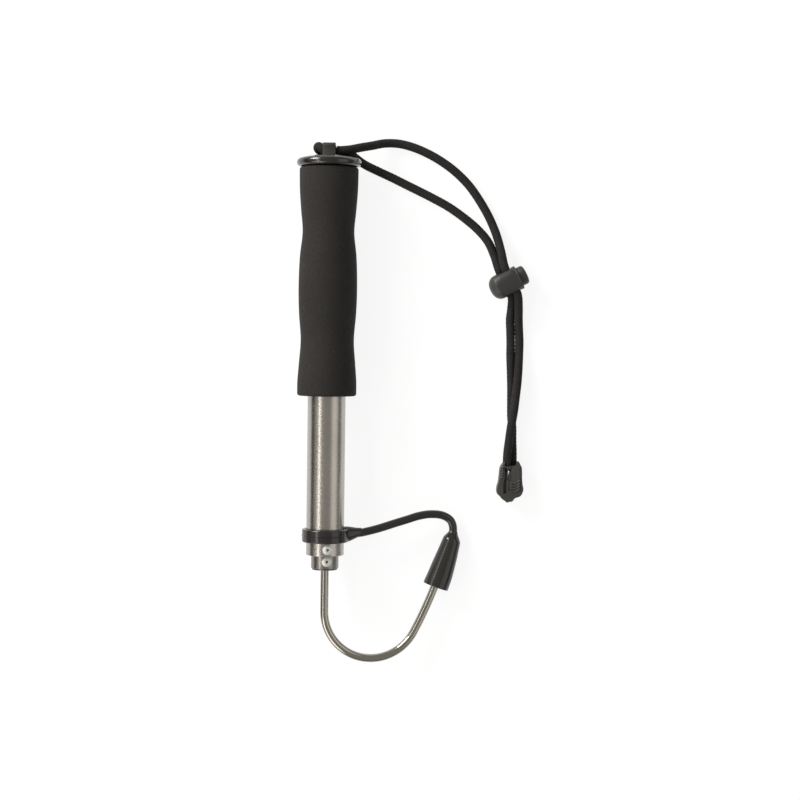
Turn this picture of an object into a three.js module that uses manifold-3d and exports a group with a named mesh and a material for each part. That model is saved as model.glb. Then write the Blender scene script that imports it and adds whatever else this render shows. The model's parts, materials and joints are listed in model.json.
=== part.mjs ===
// Telescopic fishing gaff with a foam grip, a guarded hook and a cord lanyard.
// Millimetres, +Z up. The gaff lies on a surface at z = 0 with its tubes along Y and the grip
// end at +Y. The origin is under the middle of the gaff's own box, without the lanyard.

import * as THREE from "three";
import { mergeVertices } from "three/addons/utils/BufferGeometryUtils.js";
import Module from "manifold-3d";

const wasm = await Module();
wasm.setup();

// Fits
const seatGap = 0.3;
const slideGap = 0.3;
const overrun = 2;
const floorGap = 0.05;

// Outer tube, the fixed section that the hand grip sits on
const outerTubeRadius = 11;
const outerTubeWall = 0.8;
const outerTubeLength = 224.5;
const tubeEdge = 0.3;

// Inner tube, the section that slides out
const innerTubeRadius = 8;
const innerTubeWall = 0.8;
const innerTubeRoom = 5.5;
const innerTubeShowing = 7.7;

// End cap
const capFlangeRadius = 18.8;
const capFlangeThickness = 4.8;
const capDomeRise = 1.5;
const capFlatRadius = 8;
const capEdgeRadius = 2.2;
const capSpigotLength = 16;
const capSpigotWall = 1.5;
const capPlateThickness = 4.4;
const capSeatY = 137.3;

// Lanyard lug, a bent strip whose legs pass through the cap
const lugWidth = 7.3;
const lugThickness = 1.5;
const lugEye = 6.4;
const lugHeight = 7.5;
const lugCorner = 1.9;
const lugFoot = 1.5;

// Foam grip
const gripRadius = 17.15;
const gripLength = 132;
const gripEdge = 1.4;
const gripProfileShares = [
  [0, 0.995],
  [0.1, 0.98],
  [0.19, 0.93],
  [0.28, 0.873],
  [0.39, 0.957],
  [0.53, 0.99],
  [0.64, 0.965],
  [0.755, 0.9],
  [0.86, 0.955],
  [0.94, 1],
  [1, 1],
];

// Guide bush in the outer tube's mouth, and stop sleeve on the inner tube's top end
const bushLength = 12;
const bushRecess = 0.6;
const sleeveLength = 15;
const sleeveSetback = 2;
const sleeveGrooveDepth = 0.5;
const sleeveGrooveWidth = 1.6;

// Blind rivets that hold the bush and the hook's plug
const rivetHeadRadius = 2.95;
const rivetHeadHeight = 1.4;
const rivetShankRadius = 1.3;
const rivetHoleRadius = 0.6;
const rivetHoleDepth = 2.4;
const rivetTurn = 10;
const mouthRivetSetback = 4;
const mouthRivetLength = 2.2;
const hookRivetLength = 7.3;

// Plug that carries the hook's shank in the inner tube
const plugLength = 22;
const plugLip = 0.6;
const plugLipInset = 0.6;

// Hook
const hookRodRadius = 2.4;
const hookShankInPlug = 18;
const hookShankShowing = 24.4;
const hookBendRadius = 28.2;
const hookSpringRadius = 252;
const hookPointLength = 19;
const hookTaperLength = 15;
const hookTipRadius = 0.12;
const hookBendSweep = 152;
const hookSpringSweep = 8;

// Point guard: a ring round the outer tube, a strap, and a sleeve over the point
const guardRingRadius = 13.5;
const guardRingHeight = 7.6;
const guardRingEdge = 0.6;
const guardRingGroove = 0.35;
const guardRingSetback = 11.3;
const bossEndRadius = 2.45;
const bossReach = 19.2;
const bossRise = 1.1;
const strapRadius = 2.4;
const strapRise = 10.5;
const guardMouthRadius = 7.2;
const guardShoulderRadius = 5.3;
const guardLength = 28.5;
const guardNeckLength = 6;
const guardBoreDepth = 26;
const guardBack = 5.6;
const strapRouteShares = [
  [0, 0],
  [0.12, 0.1],
  [0.25, 0.3],
  [0.375, 0.51],
  [0.5, 0.71],
  [0.625, 0.91],
  [0.75, 0.995],
  [0.87, 0.91],
  [0.955, 0.65],
  [1.008, 0.3],
  [1, 0.06],
];

// Lanyard cord, its lock and its end clip, on the surface beside the gaff
const cordRadius = 2.4;
const cordClearance = 0.45;
const cordAboveCap = 3.3;
const bightPull = 0.7;
const bightRise = 1.7;
const lockX = 72.9;
const lockY = 71.4;
const lockTurn = 27;
const lockRadius = 7.1;
const lockLength = 18.6;
const lockDomeHeight = 3.5;
const lockLip = 0.25;
const lockEndWall = 1.4;
const lockPocketRadius = 3.2;
const lockPocketDepth = 1.5;
const lockShoulder = 1.4;
const lockSideWall = 1.15;
const lockWindowSetback = 2.3;
const lockWindowHeight = 9.2;
const lockCordSpan = 8.3;
const plungerShowing = 4.7;
const plungerBridge = 1.3;
const plungerCrown = 1.7;
const plungerTravel = 1.9;
const springWire = 0.5;
const springRadius = 2.5;
const springTurns = 2.5;
const clipX = 77.6;
const clipTopY = -32.6;
const clipLength = 24.2;
const clipHalfWidth = 7.8;
const clipThickness = 9.9;
const clipEdge = 0.9;
const clipChannelDepth = 6;
const clipSlitWidth = 0.9;
const clipSlitSetover = 1;
const clipSlitLength = 7;
const clipUpperCordX = 75.7;
const clipUpperCordZ = 6.65;
const clipLowerCordX = 79.15;
const clipLowerCordZ = 3.1;
const clipRightShares = [
  [0.008, 0.654],
  [0.058, 0.73],
  [0.132, 0.846],
  [0.24, 0.885],
  [0.43, 0.897],
  [0.554, 0.936],
  [0.674, 1],
  [0.769, 0.923],
  [0.843, 0.756],
  [0.872, 0.513],
  [0.897, 0.346],
  [0.942, 0.256],
  [0.971, 0.141],
  [0.979, -0.05],
];
const clipLeftShares = [
  [0, 0.4],
  [0.033, 0.5],
  [0.091, 0.641],
  [0.161, 0.756],
  [0.376, 0.833],
  [0.512, 0.885],
  [0.632, 0.987],
  [0.727, 1],
  [0.789, 0.96],
  [0.843, 0.782],
  [0.897, 0.654],
  [0.95, 0.42],
  [1, 0.23],
];

// The cord's two free stretches, from the lug to the end clip, as points laid by hand
const upperStrandPoints = [
  [-26, 146.9, 18.8],
  [-23.5, 146.95, 18.75],
  [-18.6, 147.5, 17.9],
  [-12.5, 149.1, 14.6],
  [-6.2, 150.8, 9.4],
  [1.9, 152.85, 4.6],
  [10.1, 152.85, 2.75],
  [18.4, 150.85, 2.6],
  [26.7, 147.45, 2.6],
  [35, 142.85, 2.6],
  [43.3, 136.8, 2.6],
  [51.7, 128.45, 2.6],
  [60.1, 116.25, 2.6],
  [64.5, 108.05, 2.7],
  [67.9, 99.7, 3.5],
  [70.4, 90.5, 6.4],
  [72.6, 80.9, 9.2],
  [76.42, 73.19, 9.2],
  [80.24, 65.5, 9.2],
  [81.1, 57.9, 7.3],
  [81.35, 51.4, 4.6],
  [81.8, 43.9, 2.9],
  [82.15, 37.9, 2.6],
  [82.05, 30.9, 2.9],
  [81.7, 22.9, 5],
  [81.15, 14.4, 6.35],
  [80.3, 6.4, 7.1],
  [79.25, -2.7, 7.55],
  [77.75, -12.1, 7.55],
  [76.75, -20.1, 7.2],
  [75.9, -27.4, 6.8],
  [75.7, -33.2, 6.65],
  [75.7, -38.1, 6.65],
];
const lowerStrandPoints = [
  [-26, 146.9, 11.3],
  [-24, 146.9, 11.15],
  [-21.2, 146.55, 10.15],
  [-18.2, 145.6, 8.2],
  [-15.4, 143.9, 6],
  [-12.5, 141.85, 4.1],
  [-9.2, 139.95, 2.95],
  [-2.1, 136.65, 2.6],
  [6.2, 132.9, 2.6],
  [14.5, 128.9, 2.6],
  [22.8, 124.95, 2.6],
  [31.1, 120.85, 2.6],
  [39.5, 116.3, 2.6],
  [47.8, 110.65, 2.6],
  [56, 104, 2.6],
  [62.6, 96.6, 2.6],
  [66.45, 88.6, 3.2],
  [69.4, 79.5, 5.6],
  [73.3, 71.6, 5.6],
  [77.1, 63.9, 5.6],
  [77.1, 56.9, 3.5],
  [76.5, 50.9, 2.6],
  [76.8, 43.9, 2.6],
  [77.05, 36.9, 2.6],
  [77.05, 29.9, 2.6],
  [77.45, 20.9, 2.6],
  [77.85, 10.9, 2.6],
  [77.95, 1.9, 2.6],
  [78.1, -6.1, 2.6],
  [78.7, -13.1, 2.6],
  [78.8, -20.1, 2.65],
  [79.1, -27.4, 2.9],
  [79.15, -33.2, 3.1],
  [79.15, -38.1, 3.1],
];

// Facets round the turned pieces, and along the swept ones
const turnedSides = 36;
const gripRings = 24;
const smallSides = 20;
const rodSides = 12;
const cordSides = 8;
const hookSteps = 44;
const strapSteps = 28;
const cordSteps = 40;
const bightSteps = 16;
const bightPoints = 8;
const clipSideSteps = 18;
const springSteps = 30;

// Places that follow from the sizes
const axisX = -30.3;
const axisHeight = capFlangeRadius;
const outerTubeTopY = capSeatY - seatGap;
const mouthY = outerTubeTopY - outerTubeLength;
const outerBoreRadius = outerTubeRadius - outerTubeWall;
const innerBoreRadius = innerTubeRadius - innerTubeWall;
const innerTubeEndY = mouthY - innerTubeShowing;
const innerTubeTopY = capSeatY - capSpigotLength - innerTubeRoom;
const capTopY = capSeatY + capFlangeThickness + capDomeRise;
const mouthRivetY = mouthY + mouthRivetSetback;
const guardRingY = mouthY + guardRingSetback;
const hookRivetY = mouthY - rivetHeadRadius - seatGap;
const plugEndY = innerTubeEndY - plugLip - seatGap;
const bendCentreY = plugEndY - hookShankShowing;

const materials = {
  steel: { color: 0xa9a49b, roughness: 0.32, metalness: 1 },
  rivet: { color: 0xc9c6bf, roughness: 0.25, metalness: 1 },
  darkMetal: { color: 0x3c3b39, roughness: 0.22, metalness: 0.85 },
  foam: { color: 0x2a2826, roughness: 0.95, metalness: 0 },
  plastic: { color: 0x3a3836, roughness: 0.5, metalness: 0 },
  nylon: { color: 0xd8d4c8, roughness: 0.55, metalness: 0 },
  rubber: { color: 0x26241f, roughness: 0.45, metalness: 0 },
  cord: { color: 0x2b2a27, roughness: 0.9, metalness: 0 },
};

const radians = THREE.MathUtils.degToRad;
const at = (x, y) => new THREE.Vector2(x, y);

// A named mesh in one of the finishes above.
function piece(name, geometry, finish) {
  const mesh = new THREE.Mesh(geometry, new THREE.MeshStandardMaterial(materials[finish]));
  mesh.name = name;
  return mesh;
}

// A solid for cutting and joining, from a closed geometry.
function solid(geometry) {
  const bare = geometry.clone();
  bare.deleteAttribute("normal");
  bare.deleteAttribute("uv");
  const merged = mergeVertices(bare, seatGap / 1000);
  return new wasm.Manifold(
    new wasm.Mesh({
      numProp: 3,
      vertProperties: new Float32Array(merged.attributes.position.array),
      triVerts: new Uint32Array(merged.index.array),
    }),
  );
}

// A geometry again, from a solid that was cut or joined.
function geometryOf(body) {
  const mesh = body.getMesh();
  const geometry = new THREE.BufferGeometry();
  geometry.setAttribute("position", new THREE.BufferAttribute(mesh.vertProperties, mesh.numProp));
  geometry.setIndex(new THREE.BufferAttribute(mesh.triVerts, 1));
  geometry.computeVertexNormals();
  return geometry;
}

const cut = (body, ...tools) => tools.reduce((rest, tool) => rest.subtract(tool), body);
const join = (body, ...others) => others.reduce((whole, other) => whole.add(other), body);

// A piece turned about Y, from a profile of radius and height that closes on itself.
function turned(profile, sides = turnedSides) {
  const area = THREE.ShapeUtils.area(profile);
  const outline = area > 0 ? [...profile] : [...profile].reverse();
  outline.push(outline[0].clone());
  return new THREE.LatheGeometry(outline, sides);
}

// A ring or tube about Y between two heights, with its outer edges eased.
function ring(inner, outer, low, high, edge = 0, sides = turnedSides) {
  if (edge === 0) {
    return turned([at(inner, low), at(outer, low), at(outer, high), at(inner, high)], sides);
  }
  const profile = [
    at(inner, low),
    at(outer - edge, low),
    at(outer, low + edge),
    at(outer, high - edge),
    at(outer - edge, high),
    at(inner, high),
  ];
  return turned(profile, sides);
}

// A plain rod about Y, used as a cutter or joined to another solid.
function rod(radius, low, high, sides = smallSides) {
  const geometry = new THREE.CylinderGeometry(radius, radius, high - low, sides);
  return geometry.translate(0, (low + high) / 2, 0);
}

// A flat path as a route in space, for sweeping a section along it.
class FlatRoute extends THREE.Curve {
  constructor(path) {
    super();
    this.path = path;
  }
  getPoint(share, target = new THREE.Vector3()) {
    const point = this.path.getPoint(share);
    return target.set(point.x, point.y, 0);
  }
}

// A round section of the given radius swept along a route.
function swept(route, radius, sides, steps) {
  const section = new THREE.Shape();
  for (let i = 0; i < sides; i += 1) {
    const angle = (i / sides) * Math.PI * 2;
    const point = at(radius * Math.cos(angle), radius * Math.sin(angle));
    if (i === 0) section.moveTo(point.x, point.y);
    else section.lineTo(point.x, point.y);
  }
  section.closePath();
  return new THREE.ExtrudeGeometry(section, { steps, extrudePath: route, curveSegments: 1 });
}

// The foam grip: two waists for the fingers between three swells.
function makeGrip() {
  const top = outerTubeTopY;
  const curve = new THREE.SplineCurve(
    gripProfileShares.map(([along, wide]) => at(wide * gripRadius, top - along * gripLength)),
  );
  const spline = curve.getPoints(gripRings).slice(1, -1);
  const bottom = top - gripLength;
  const profile = [at(outerTubeRadius + seatGap, top), at(spline[0].x - gripEdge, top)];
  const inside = spline.filter((p) => p.y < top - gripEdge && p.y > bottom + gripEdge);
  profile.push(at(inside[0].x - gripEdge * 0.3, top - gripEdge * 0.3));
  profile.push(...inside);
  const last = inside[inside.length - 1];
  profile.push(at(last.x, bottom + gripEdge));
  profile.push(at(last.x - gripEdge * 0.3, bottom + gripEdge * 0.3));
  profile.push(at(last.x - gripEdge, bottom), at(outerTubeRadius + seatGap, bottom));
  return piece("foam_grip", turned(profile), "foam");
}

// The hole that a rivet's shank passes through, in solids about the gaff's axis.
function rivetHole(y) {
  const drill = rod(rivetShankRadius + seatGap, 0, outerTubeRadius + overrun);
  drill.rotateX(Math.PI / 2).rotateY(radians(rivetTurn)).translate(0, y, 0);
  return solid(drill);
}

// A blind rivet with a domed head that seats on a tube, and its mandrel hole.
function makeRivet(name, tubeRadius, length, y) {
  const crown = tubeRadius + rivetHeadHeight;
  const base = tubeRadius - rivetHeadHeight;
  const dome = [at(0, base), at(rivetHeadRadius, base), at(rivetHeadRadius, tubeRadius + seatGap)];
  for (let i = 1; i <= 4; i += 1) {
    const angle = (i / 4) * (Math.PI / 2);
    const lift = (rivetHeadHeight - seatGap) * Math.sin(angle);
    dome.push(at(rivetHeadRadius * Math.cos(angle), tubeRadius + seatGap + lift));
  }
  dome[dome.length - 1].x = 0;
  const head = solid(new THREE.LatheGeometry(dome, smallSides));
  const lying = rod(tubeRadius + seatGap, -rivetHeadRadius * 2, rivetHeadRadius * 2, turnedSides);
  lying.rotateX(Math.PI / 2);
  const shank = solid(rod(rivetShankRadius, tubeRadius - length, tubeRadius + rivetHeadHeight / 2));
  const mandrel = solid(rod(rivetHoleRadius, crown - rivetHoleDepth, crown + overrun, 12));
  const body = cut(join(cut(head, solid(lying)), shank), mandrel);
  const geometry = geometryOf(body);
  geometry.rotateX(Math.PI / 2).rotateY(radians(rivetTurn)).translate(0, y, 0);
  return piece(name, geometry, "rivet");
}

function makeOuterTube() {
  const wall = ring(outerBoreRadius, outerTubeRadius, mouthY, outerTubeTopY, tubeEdge);
  return piece("outer_tube", geometryOf(cut(solid(wall), rivetHole(mouthRivetY))), "steel");
}

function makeGuideBush() {
  const low = mouthY + bushRecess;
  const bore = innerTubeRadius + slideGap;
  const wall = ring(bore, outerBoreRadius - seatGap, low, low + bushLength, tubeEdge);
  return piece("guide_bush", geometryOf(cut(solid(wall), rivetHole(mouthRivetY))), "nylon");
}

function makeInnerTube() {
  const wall = ring(innerBoreRadius, innerTubeRadius, innerTubeEndY, innerTubeTopY, tubeEdge);
  return piece("inner_tube", geometryOf(cut(solid(wall), rivetHole(hookRivetY))), "steel");
}

// The stop sleeve has two grooves that leave three bearing bands.
function makeStopSleeve() {
  const high = innerTubeTopY - sleeveSetback;
  const low = high - sleeveLength;
  const outer = outerBoreRadius - slideGap;
  const inner = innerTubeRadius + seatGap;
  const profile = [at(inner, low), at(outer, low)];
  for (const share of [1 / 3, 2 / 3]) {
    const middle = low + sleeveLength * share;
    profile.push(at(outer, middle - sleeveGrooveWidth / 2));
    profile.push(at(outer - sleeveGrooveDepth, middle - sleeveGrooveWidth / 2));
    profile.push(at(outer - sleeveGrooveDepth, middle + sleeveGrooveWidth / 2));
    profile.push(at(outer, middle + sleeveGrooveWidth / 2));
  }
  profile.push(at(outer, high), at(inner, high));
  return piece("stop_sleeve", turned(profile), "nylon");
}

function makeShankPlug() {
  const outer = innerBoreRadius - seatGap;
  const lip = innerTubeRadius - plugLipInset;
  const bore = hookRodRadius + seatGap;
  const profile = [
    at(bore, plugEndY),
    at(lip, plugEndY),
    at(lip, plugEndY + plugLip),
    at(outer, plugEndY + plugLip),
    at(outer, plugEndY + plugLength),
    at(bore, plugEndY + plugLength),
  ];
  const body = cut(solid(turned(profile)), rivetHole(hookRivetY));
  return piece("shank_plug", geometryOf(body), "steel");
}

// The cap: a domed flange over the grip, with a hollow spigot in the tube's end.
function makeEndCap() {
  const spigot = outerBoreRadius - seatGap;
  const flangeTop = capSeatY + capFlangeThickness;
  const rimMiddle = capSeatY + capFlangeThickness / 2;
  const profile = [at(0, capTopY), at(capFlatRadius, capTopY)];
  const shoulder = capFlangeRadius - capEdgeRadius;
  for (let i = 1; i <= 3; i += 1) {
    const share = i / 3;
    const radius = THREE.MathUtils.lerp(capFlatRadius, shoulder, share);
    profile.push(at(radius, capTopY - capDomeRise * share * share));
  }
  for (let i = 1; i <= 7; i += 1) {
    const angle = Math.PI / 2 - (i / 7) * Math.PI;
    const x = shoulder + capEdgeRadius * Math.cos(angle);
    profile.push(at(x, rimMiddle + (flangeTop - rimMiddle) * Math.sin(angle)));
  }
  const under = capTopY - capPlateThickness;
  profile.push(at(spigot, capSeatY));
  profile.push(at(spigot, capSeatY - capSpigotLength));
  profile.push(at(spigot - capSpigotWall, capSeatY - capSpigotLength));
  profile.push(at(spigot - capSpigotWall, under), at(0, under));
  let body = solid(new THREE.LatheGeometry(profile.reverse(), turnedSides));
  for (const side of [-1, 1]) {
    const width = lugWidth + seatGap * 2;
    const thick = lugThickness + seatGap * 2;
    const slot = new THREE.BoxGeometry(width, capPlateThickness + overrun * 2, thick);
    slot.translate(0, capTopY - capPlateThickness / 2, (side * (lugEye + lugThickness)) / 2);
    body = body.subtract(solid(slot));
  }
  return piece("end_cap", geometryOf(body), "darkMetal");
}

// The lug: a strip bent over the eye, its legs through the cap and its feet turned out below.
function makeLug() {
  const inner = lugEye / 2;
  const outer = inner + lugThickness;
  const top = capTopY + lugHeight;
  const foot = capTopY - capPlateThickness - seatGap;
  const low = foot - lugThickness;
  const inside = lugCorner - lugThickness;
  const outline = new THREE.Shape();
  outline.moveTo(inner, low);
  outline.lineTo(outer + lugFoot, low);
  outline.lineTo(outer + lugFoot, foot);
  outline.lineTo(outer, foot);
  outline.lineTo(outer, top - lugCorner);
  outline.absarc(outer - lugCorner, top - lugCorner, lugCorner, 0, Math.PI / 2, false);
  outline.absarc(lugCorner - outer, top - lugCorner, lugCorner, Math.PI / 2, Math.PI, false);
  outline.lineTo(-outer, foot);
  outline.lineTo(-outer - lugFoot, foot);
  outline.lineTo(-outer - lugFoot, low);
  outline.lineTo(-inner, low);
  outline.absarc(lugCorner - outer, top - lugCorner, inside, Math.PI, Math.PI / 2, true);
  outline.absarc(outer - lugCorner, top - lugCorner, inside, Math.PI / 2, 0, true);
  outline.closePath();
  const strip = new THREE.ExtrudeGeometry(outline, {
    depth: lugWidth,
    bevelEnabled: false,
    curveSegments: 5,
  });
  strip.translate(0, 0, -lugWidth / 2).rotateY(Math.PI / 2);
  return piece("lanyard_lug", strip, "darkMetal");
}

// The hook, in its own plane: shank, bend, a slight spring in the arm, and the ground point.
function hookPath() {
  const path = new THREE.Path();
  const turn = radians(hookBendSweep);
  const spring = radians(hookSpringSweep);
  path.moveTo(0, plugEndY + hookShankInPlug);
  path.lineTo(0, bendCentreY);
  path.absarc(hookBendRadius, bendCentreY, hookBendRadius, Math.PI, Math.PI + turn, false);
  const heading = at(Math.sin(turn - Math.PI) * -1, Math.cos(turn - Math.PI));
  const end = path.getPoint(1);
  const outward = at(-heading.y, heading.x);
  const centre = end.clone().addScaledVector(outward, hookSpringRadius);
  const from = Math.atan2(end.y - centre.y, end.x - centre.x);
  path.absarc(centre.x, centre.y, hookSpringRadius, from, from + spring, false);
  return path;
}

const hookRoute = hookPath();
const armEnd = hookRoute.getPoint(1);
const armHeading = hookRoute.getTangent(1);
const guardMouth = armEnd.clone().addScaledVector(armHeading, -guardBack);
const guardLean = Math.atan2(armHeading.x, armHeading.y);

// The hook's plane drops from the axis until the guard's mouth touches the surface.
const restDrop = axisHeight - floorGap;
let restAngle = 0;
for (let i = 0; i < 8; i += 1) {
  const tilt = Math.sin(restAngle) * Math.sin(guardLean);
  const edge = guardMouthRadius * Math.sqrt(1 - tilt * tilt);
  restAngle = Math.asin((restDrop - edge) / guardMouth.x);
}

function makeHook() {
  const shaft = swept(new FlatRoute(hookRoute), hookRodRadius, rodSides, hookSteps);
  const straight = hookPointLength - hookTaperLength;
  const profile = [
    at(0, -floorGap),
    at(hookRodRadius, -floorGap),
    at(hookRodRadius, straight),
    at(hookTipRadius, hookPointLength),
    at(0, hookPointLength),
  ];
  const point = new THREE.LatheGeometry(profile, rodSides);
  point.rotateZ(-guardLean).translate(armEnd.x, armEnd.y, 0);
  const hole = rivetHole(hookRivetY).rotate([0, THREE.MathUtils.radToDeg(-restAngle), 0]);
  return piece("hook", geometryOf(cut(join(solid(shaft), solid(point)), hole)), "steel");
}

// The guard's ring, with the boss that the strap grows from and a moulding line round it.
function bossLine() {
  const start = at(outerTubeRadius + guardRingEdge + seatGap, guardRingY);
  const end = at(bossReach, guardRingY + bossRise);
  return { start, end, heading: end.clone().sub(start).normalize() };
}

function makeGuardRing() {
  const low = guardRingY - guardRingHeight / 2;
  const high = guardRingY + guardRingHeight / 2;
  const inner = outerTubeRadius + slideGap;
  const groove = guardRingGroove;
  const profile = [
    at(inner, low),
    at(guardRingRadius - guardRingEdge, low),
    at(guardRingRadius, low + guardRingEdge),
    at(guardRingRadius, guardRingY - groove),
    at(guardRingRadius - groove, guardRingY),
    at(guardRingRadius, guardRingY + groove),
    at(guardRingRadius, high - guardRingEdge),
    at(guardRingRadius - guardRingEdge, high),
    at(inner, high),
  ];
  const { start, end, heading } = bossLine();
  const reach = end.distanceTo(start);
  const base = guardRingHeight / 2;
  const taper = [at(0, 0), at(base, 0)];
  for (let i = 1; i <= 4; i += 1) {
    const share = i / 4;
    const ease = share * share * (3 - 2 * share);
    taper.push(at(THREE.MathUtils.lerp(base, bossEndRadius, ease), reach * share));
  }
  taper.push(at(0, reach));
  const boss = new THREE.LatheGeometry(taper, smallSides);
  boss.rotateZ(Math.atan2(heading.y, heading.x) - Math.PI / 2).translate(start.x, start.y, 0);
  const clear = solid(rod(inner, low - overrun, high + overrun, turnedSides));
  const body = cut(join(solid(turned(profile)), solid(boss)), clear);
  return piece("guard_ring", geometryOf(body), "rubber");
}

// The guard's sleeve over the point, with its bore open at the mouth.
function makeGuardSleeve() {
  const bore = hookRodRadius + seatGap;
  const edge = guardRingEdge;
  const neck = guardLength + guardNeckLength;
  const profile = [
    at(0, guardBoreDepth),
    at(bore, guardBoreDepth),
    at(bore, edge),
    at(bore + edge, 0),
    at(guardMouthRadius - edge, 0),
    at(guardMouthRadius, edge),
    at(guardShoulderRadius, guardLength),
  ];
  for (let i = 1; i <= 4; i += 1) {
    const share = i / 4;
    const ease = share * share * (3 - 2 * share);
    const radius = THREE.MathUtils.lerp(guardShoulderRadius, strapRadius, ease);
    profile.push(at(radius, guardLength + guardNeckLength * share));
  }
  profile.push(at(0, neck));
  const sleeve = new THREE.LatheGeometry(profile, smallSides);
  sleeve.rotateZ(-guardLean).translate(guardMouth.x, guardMouth.y, 0);
  return piece("guard_sleeve", sleeve, "rubber");
}

// The strap's arch from the ring's boss to the sleeve's neck.
function makeGuardStrap() {
  const { end, heading } = bossLine();
  const from = end.clone().addScaledVector(heading, seatGap);
  const neck = guardLength + guardNeckLength + seatGap;
  const to = guardMouth.clone().addScaledVector(armHeading, neck);
  const points = strapRouteShares.map(([along, up], index) => {
    const share = index / (strapRouteShares.length - 1);
    const base = THREE.MathUtils.lerp(from.y, to.y, share);
    return new THREE.Vector3(from.x + along * (to.x - from.x), base + up * strapRise, 0);
  });
  const last = points.length - 1;
  points[0].set(from.x, from.y, 0);
  points[1].set(from.x + heading.x * strapRadius, from.y + heading.y * strapRadius, 0);
  points[last].set(to.x, to.y, 0);
  points[last - 1].set(to.x + armHeading.x * strapRadius, to.y + armHeading.y * strapRadius, 0);
  const route = new THREE.CatmullRomCurve3(points, false, "centripetal");
  return piece("guard_strap", swept(route, strapRadius, 10, strapSteps), "rubber");
}

// The turn of cord round the lug's leg that lies further down, its far side lifted off the cap.
function makeBight() {
  const run = lugWidth / 2 + seatGap;
  const drop = cordRadius * 2 + lugThickness + seatGap * 4;
  const turnX = bightPull - run;
  const points = [new THREE.Vector3(run, 0, 0), new THREE.Vector3(0, 0, 0)];
  for (let i = 0; i <= bightPoints; i += 1) {
    const angle = (i / bightPoints) * Math.PI;
    const out = Math.sin(angle);
    const down = ((Math.cos(angle) - 1) * drop) / 2;
    points.push(new THREE.Vector3(turnX - (out * drop) / 2, bightRise * out * out, down));
  }
  points.push(new THREE.Vector3(0, 0, -drop), new THREE.Vector3(run, 0, -drop));
  const route = new THREE.CatmullRomCurve3(points, false, "centripetal");
  const bight = swept(route, cordRadius, cordSides, bightSteps);
  bight.translate(0, capTopY + cordAboveCap, 0);
  return piece("lanyard_bight", bight, "cord");
}

function makeStrand(name, places) {
  const points = places.map(([x, y, z]) => new THREE.Vector3(x, y, z));
  const route = new THREE.CatmullRomCurve3(points, false, "centripetal");
  return piece(name, swept(route, cordRadius, cordSides, cordSteps), "cord");
}

// The lock's window, where the two strands cross it, as a cutter along its length.
function lockWindow(from, to) {
  const box = new THREE.BoxGeometry(to - from, lockRadius * 2 + overrun * 2, lockWindowHeight);
  return solid(box.translate((from + to) / 2, 0, 0));
}

const lockBore = lockRadius - lockSideWall;
const lockPocketTop = lockEndWall + lockPocketDepth;
const windowEnd = lockLength - lockWindowSetback;
const windowStart = windowEnd - lockCordSpan - cordClearance * 2;

function makeLockBarrel() {
  const profile = [at(0, 0)];
  const domeRadius = (lockRadius * lockRadius + lockDomeHeight * lockDomeHeight) / lockDomeHeight / 2;
  const sweep = Math.asin(lockRadius / domeRadius);
  for (let i = 1; i <= 6; i += 1) {
    const angle = (i / 6) * sweep;
    profile.push(at(domeRadius * Math.sin(angle), domeRadius - domeRadius * Math.cos(angle)));
  }
  profile.push(at(lockRadius, lockLength - lockLip * 4));
  profile.push(at(lockRadius + lockLip, lockLength - lockLip * 3));
  profile.push(at(lockRadius + lockLip, lockLength - lockLip));
  profile.push(at(lockRadius, lockLength));
  profile.push(at(lockBore, lockLength));
  profile.push(at(lockBore, lockPocketTop + lockShoulder));
  profile.push(at(lockBore - lockShoulder, lockPocketTop));
  profile.push(at(lockPocketRadius, lockPocketTop));
  profile.push(at(lockPocketRadius, lockEndWall));
  profile.push(at(0, lockEndWall));
  const shell = new THREE.LatheGeometry(profile, smallSides).rotateZ(-Math.PI / 2);
  const body = cut(solid(shell), lockWindow(windowStart, windowEnd));
  return piece("lock_barrel", geometryOf(body), "plastic");
}

function makeLockPlunger() {
  const radius = lockBore - slideGap;
  const inner = windowStart - plungerBridge;
  const end = lockLength + plungerShowing;
  const profile = [
    at(0, inner),
    at(radius - plungerBridge, inner),
    at(radius, inner + plungerBridge),
  ];
  for (let i = 0; i <= 4; i += 1) {
    const angle = (i / 4) * (Math.PI / 2);
    const lift = end - plungerCrown + plungerCrown * Math.sin(angle);
    profile.push(at(radius * Math.pow(Math.cos(angle), 0.5), lift));
  }
  profile[profile.length - 1].x = 0;
  const stem = new THREE.LatheGeometry(profile, smallSides).rotateZ(-Math.PI / 2);
  const window = lockWindow(windowStart, windowEnd + plungerTravel + cordClearance);
  return piece("lock_plunger", geometryOf(cut(solid(stem), window)), "plastic");
}

// The plunger's spring in its pocket, one unbroken coil.
function makeLockSpring() {
  const low = lockEndWall + seatGap + springWire / 2;
  const high = windowStart - plungerBridge - seatGap - springWire / 2;
  const points = [];
  for (let i = 0; i <= springSteps; i += 1) {
    const angle = (i / springSteps) * springTurns * Math.PI * 2;
    const along = THREE.MathUtils.lerp(low, high, i / springSteps);
    points.push(
      new THREE.Vector3(along, springRadius * Math.cos(angle), springRadius * Math.sin(angle)),
    );
  }
  const route = new THREE.CatmullRomCurve3(points);
  const pitch = (high - low) / springTurns;
  console.log(`lock_spring: least gap between turns ${(pitch - springWire).toFixed(2)} mm`);
  return piece("lock_spring", swept(route, springWire / 2, 5, springSteps), "rivet");
}

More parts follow.
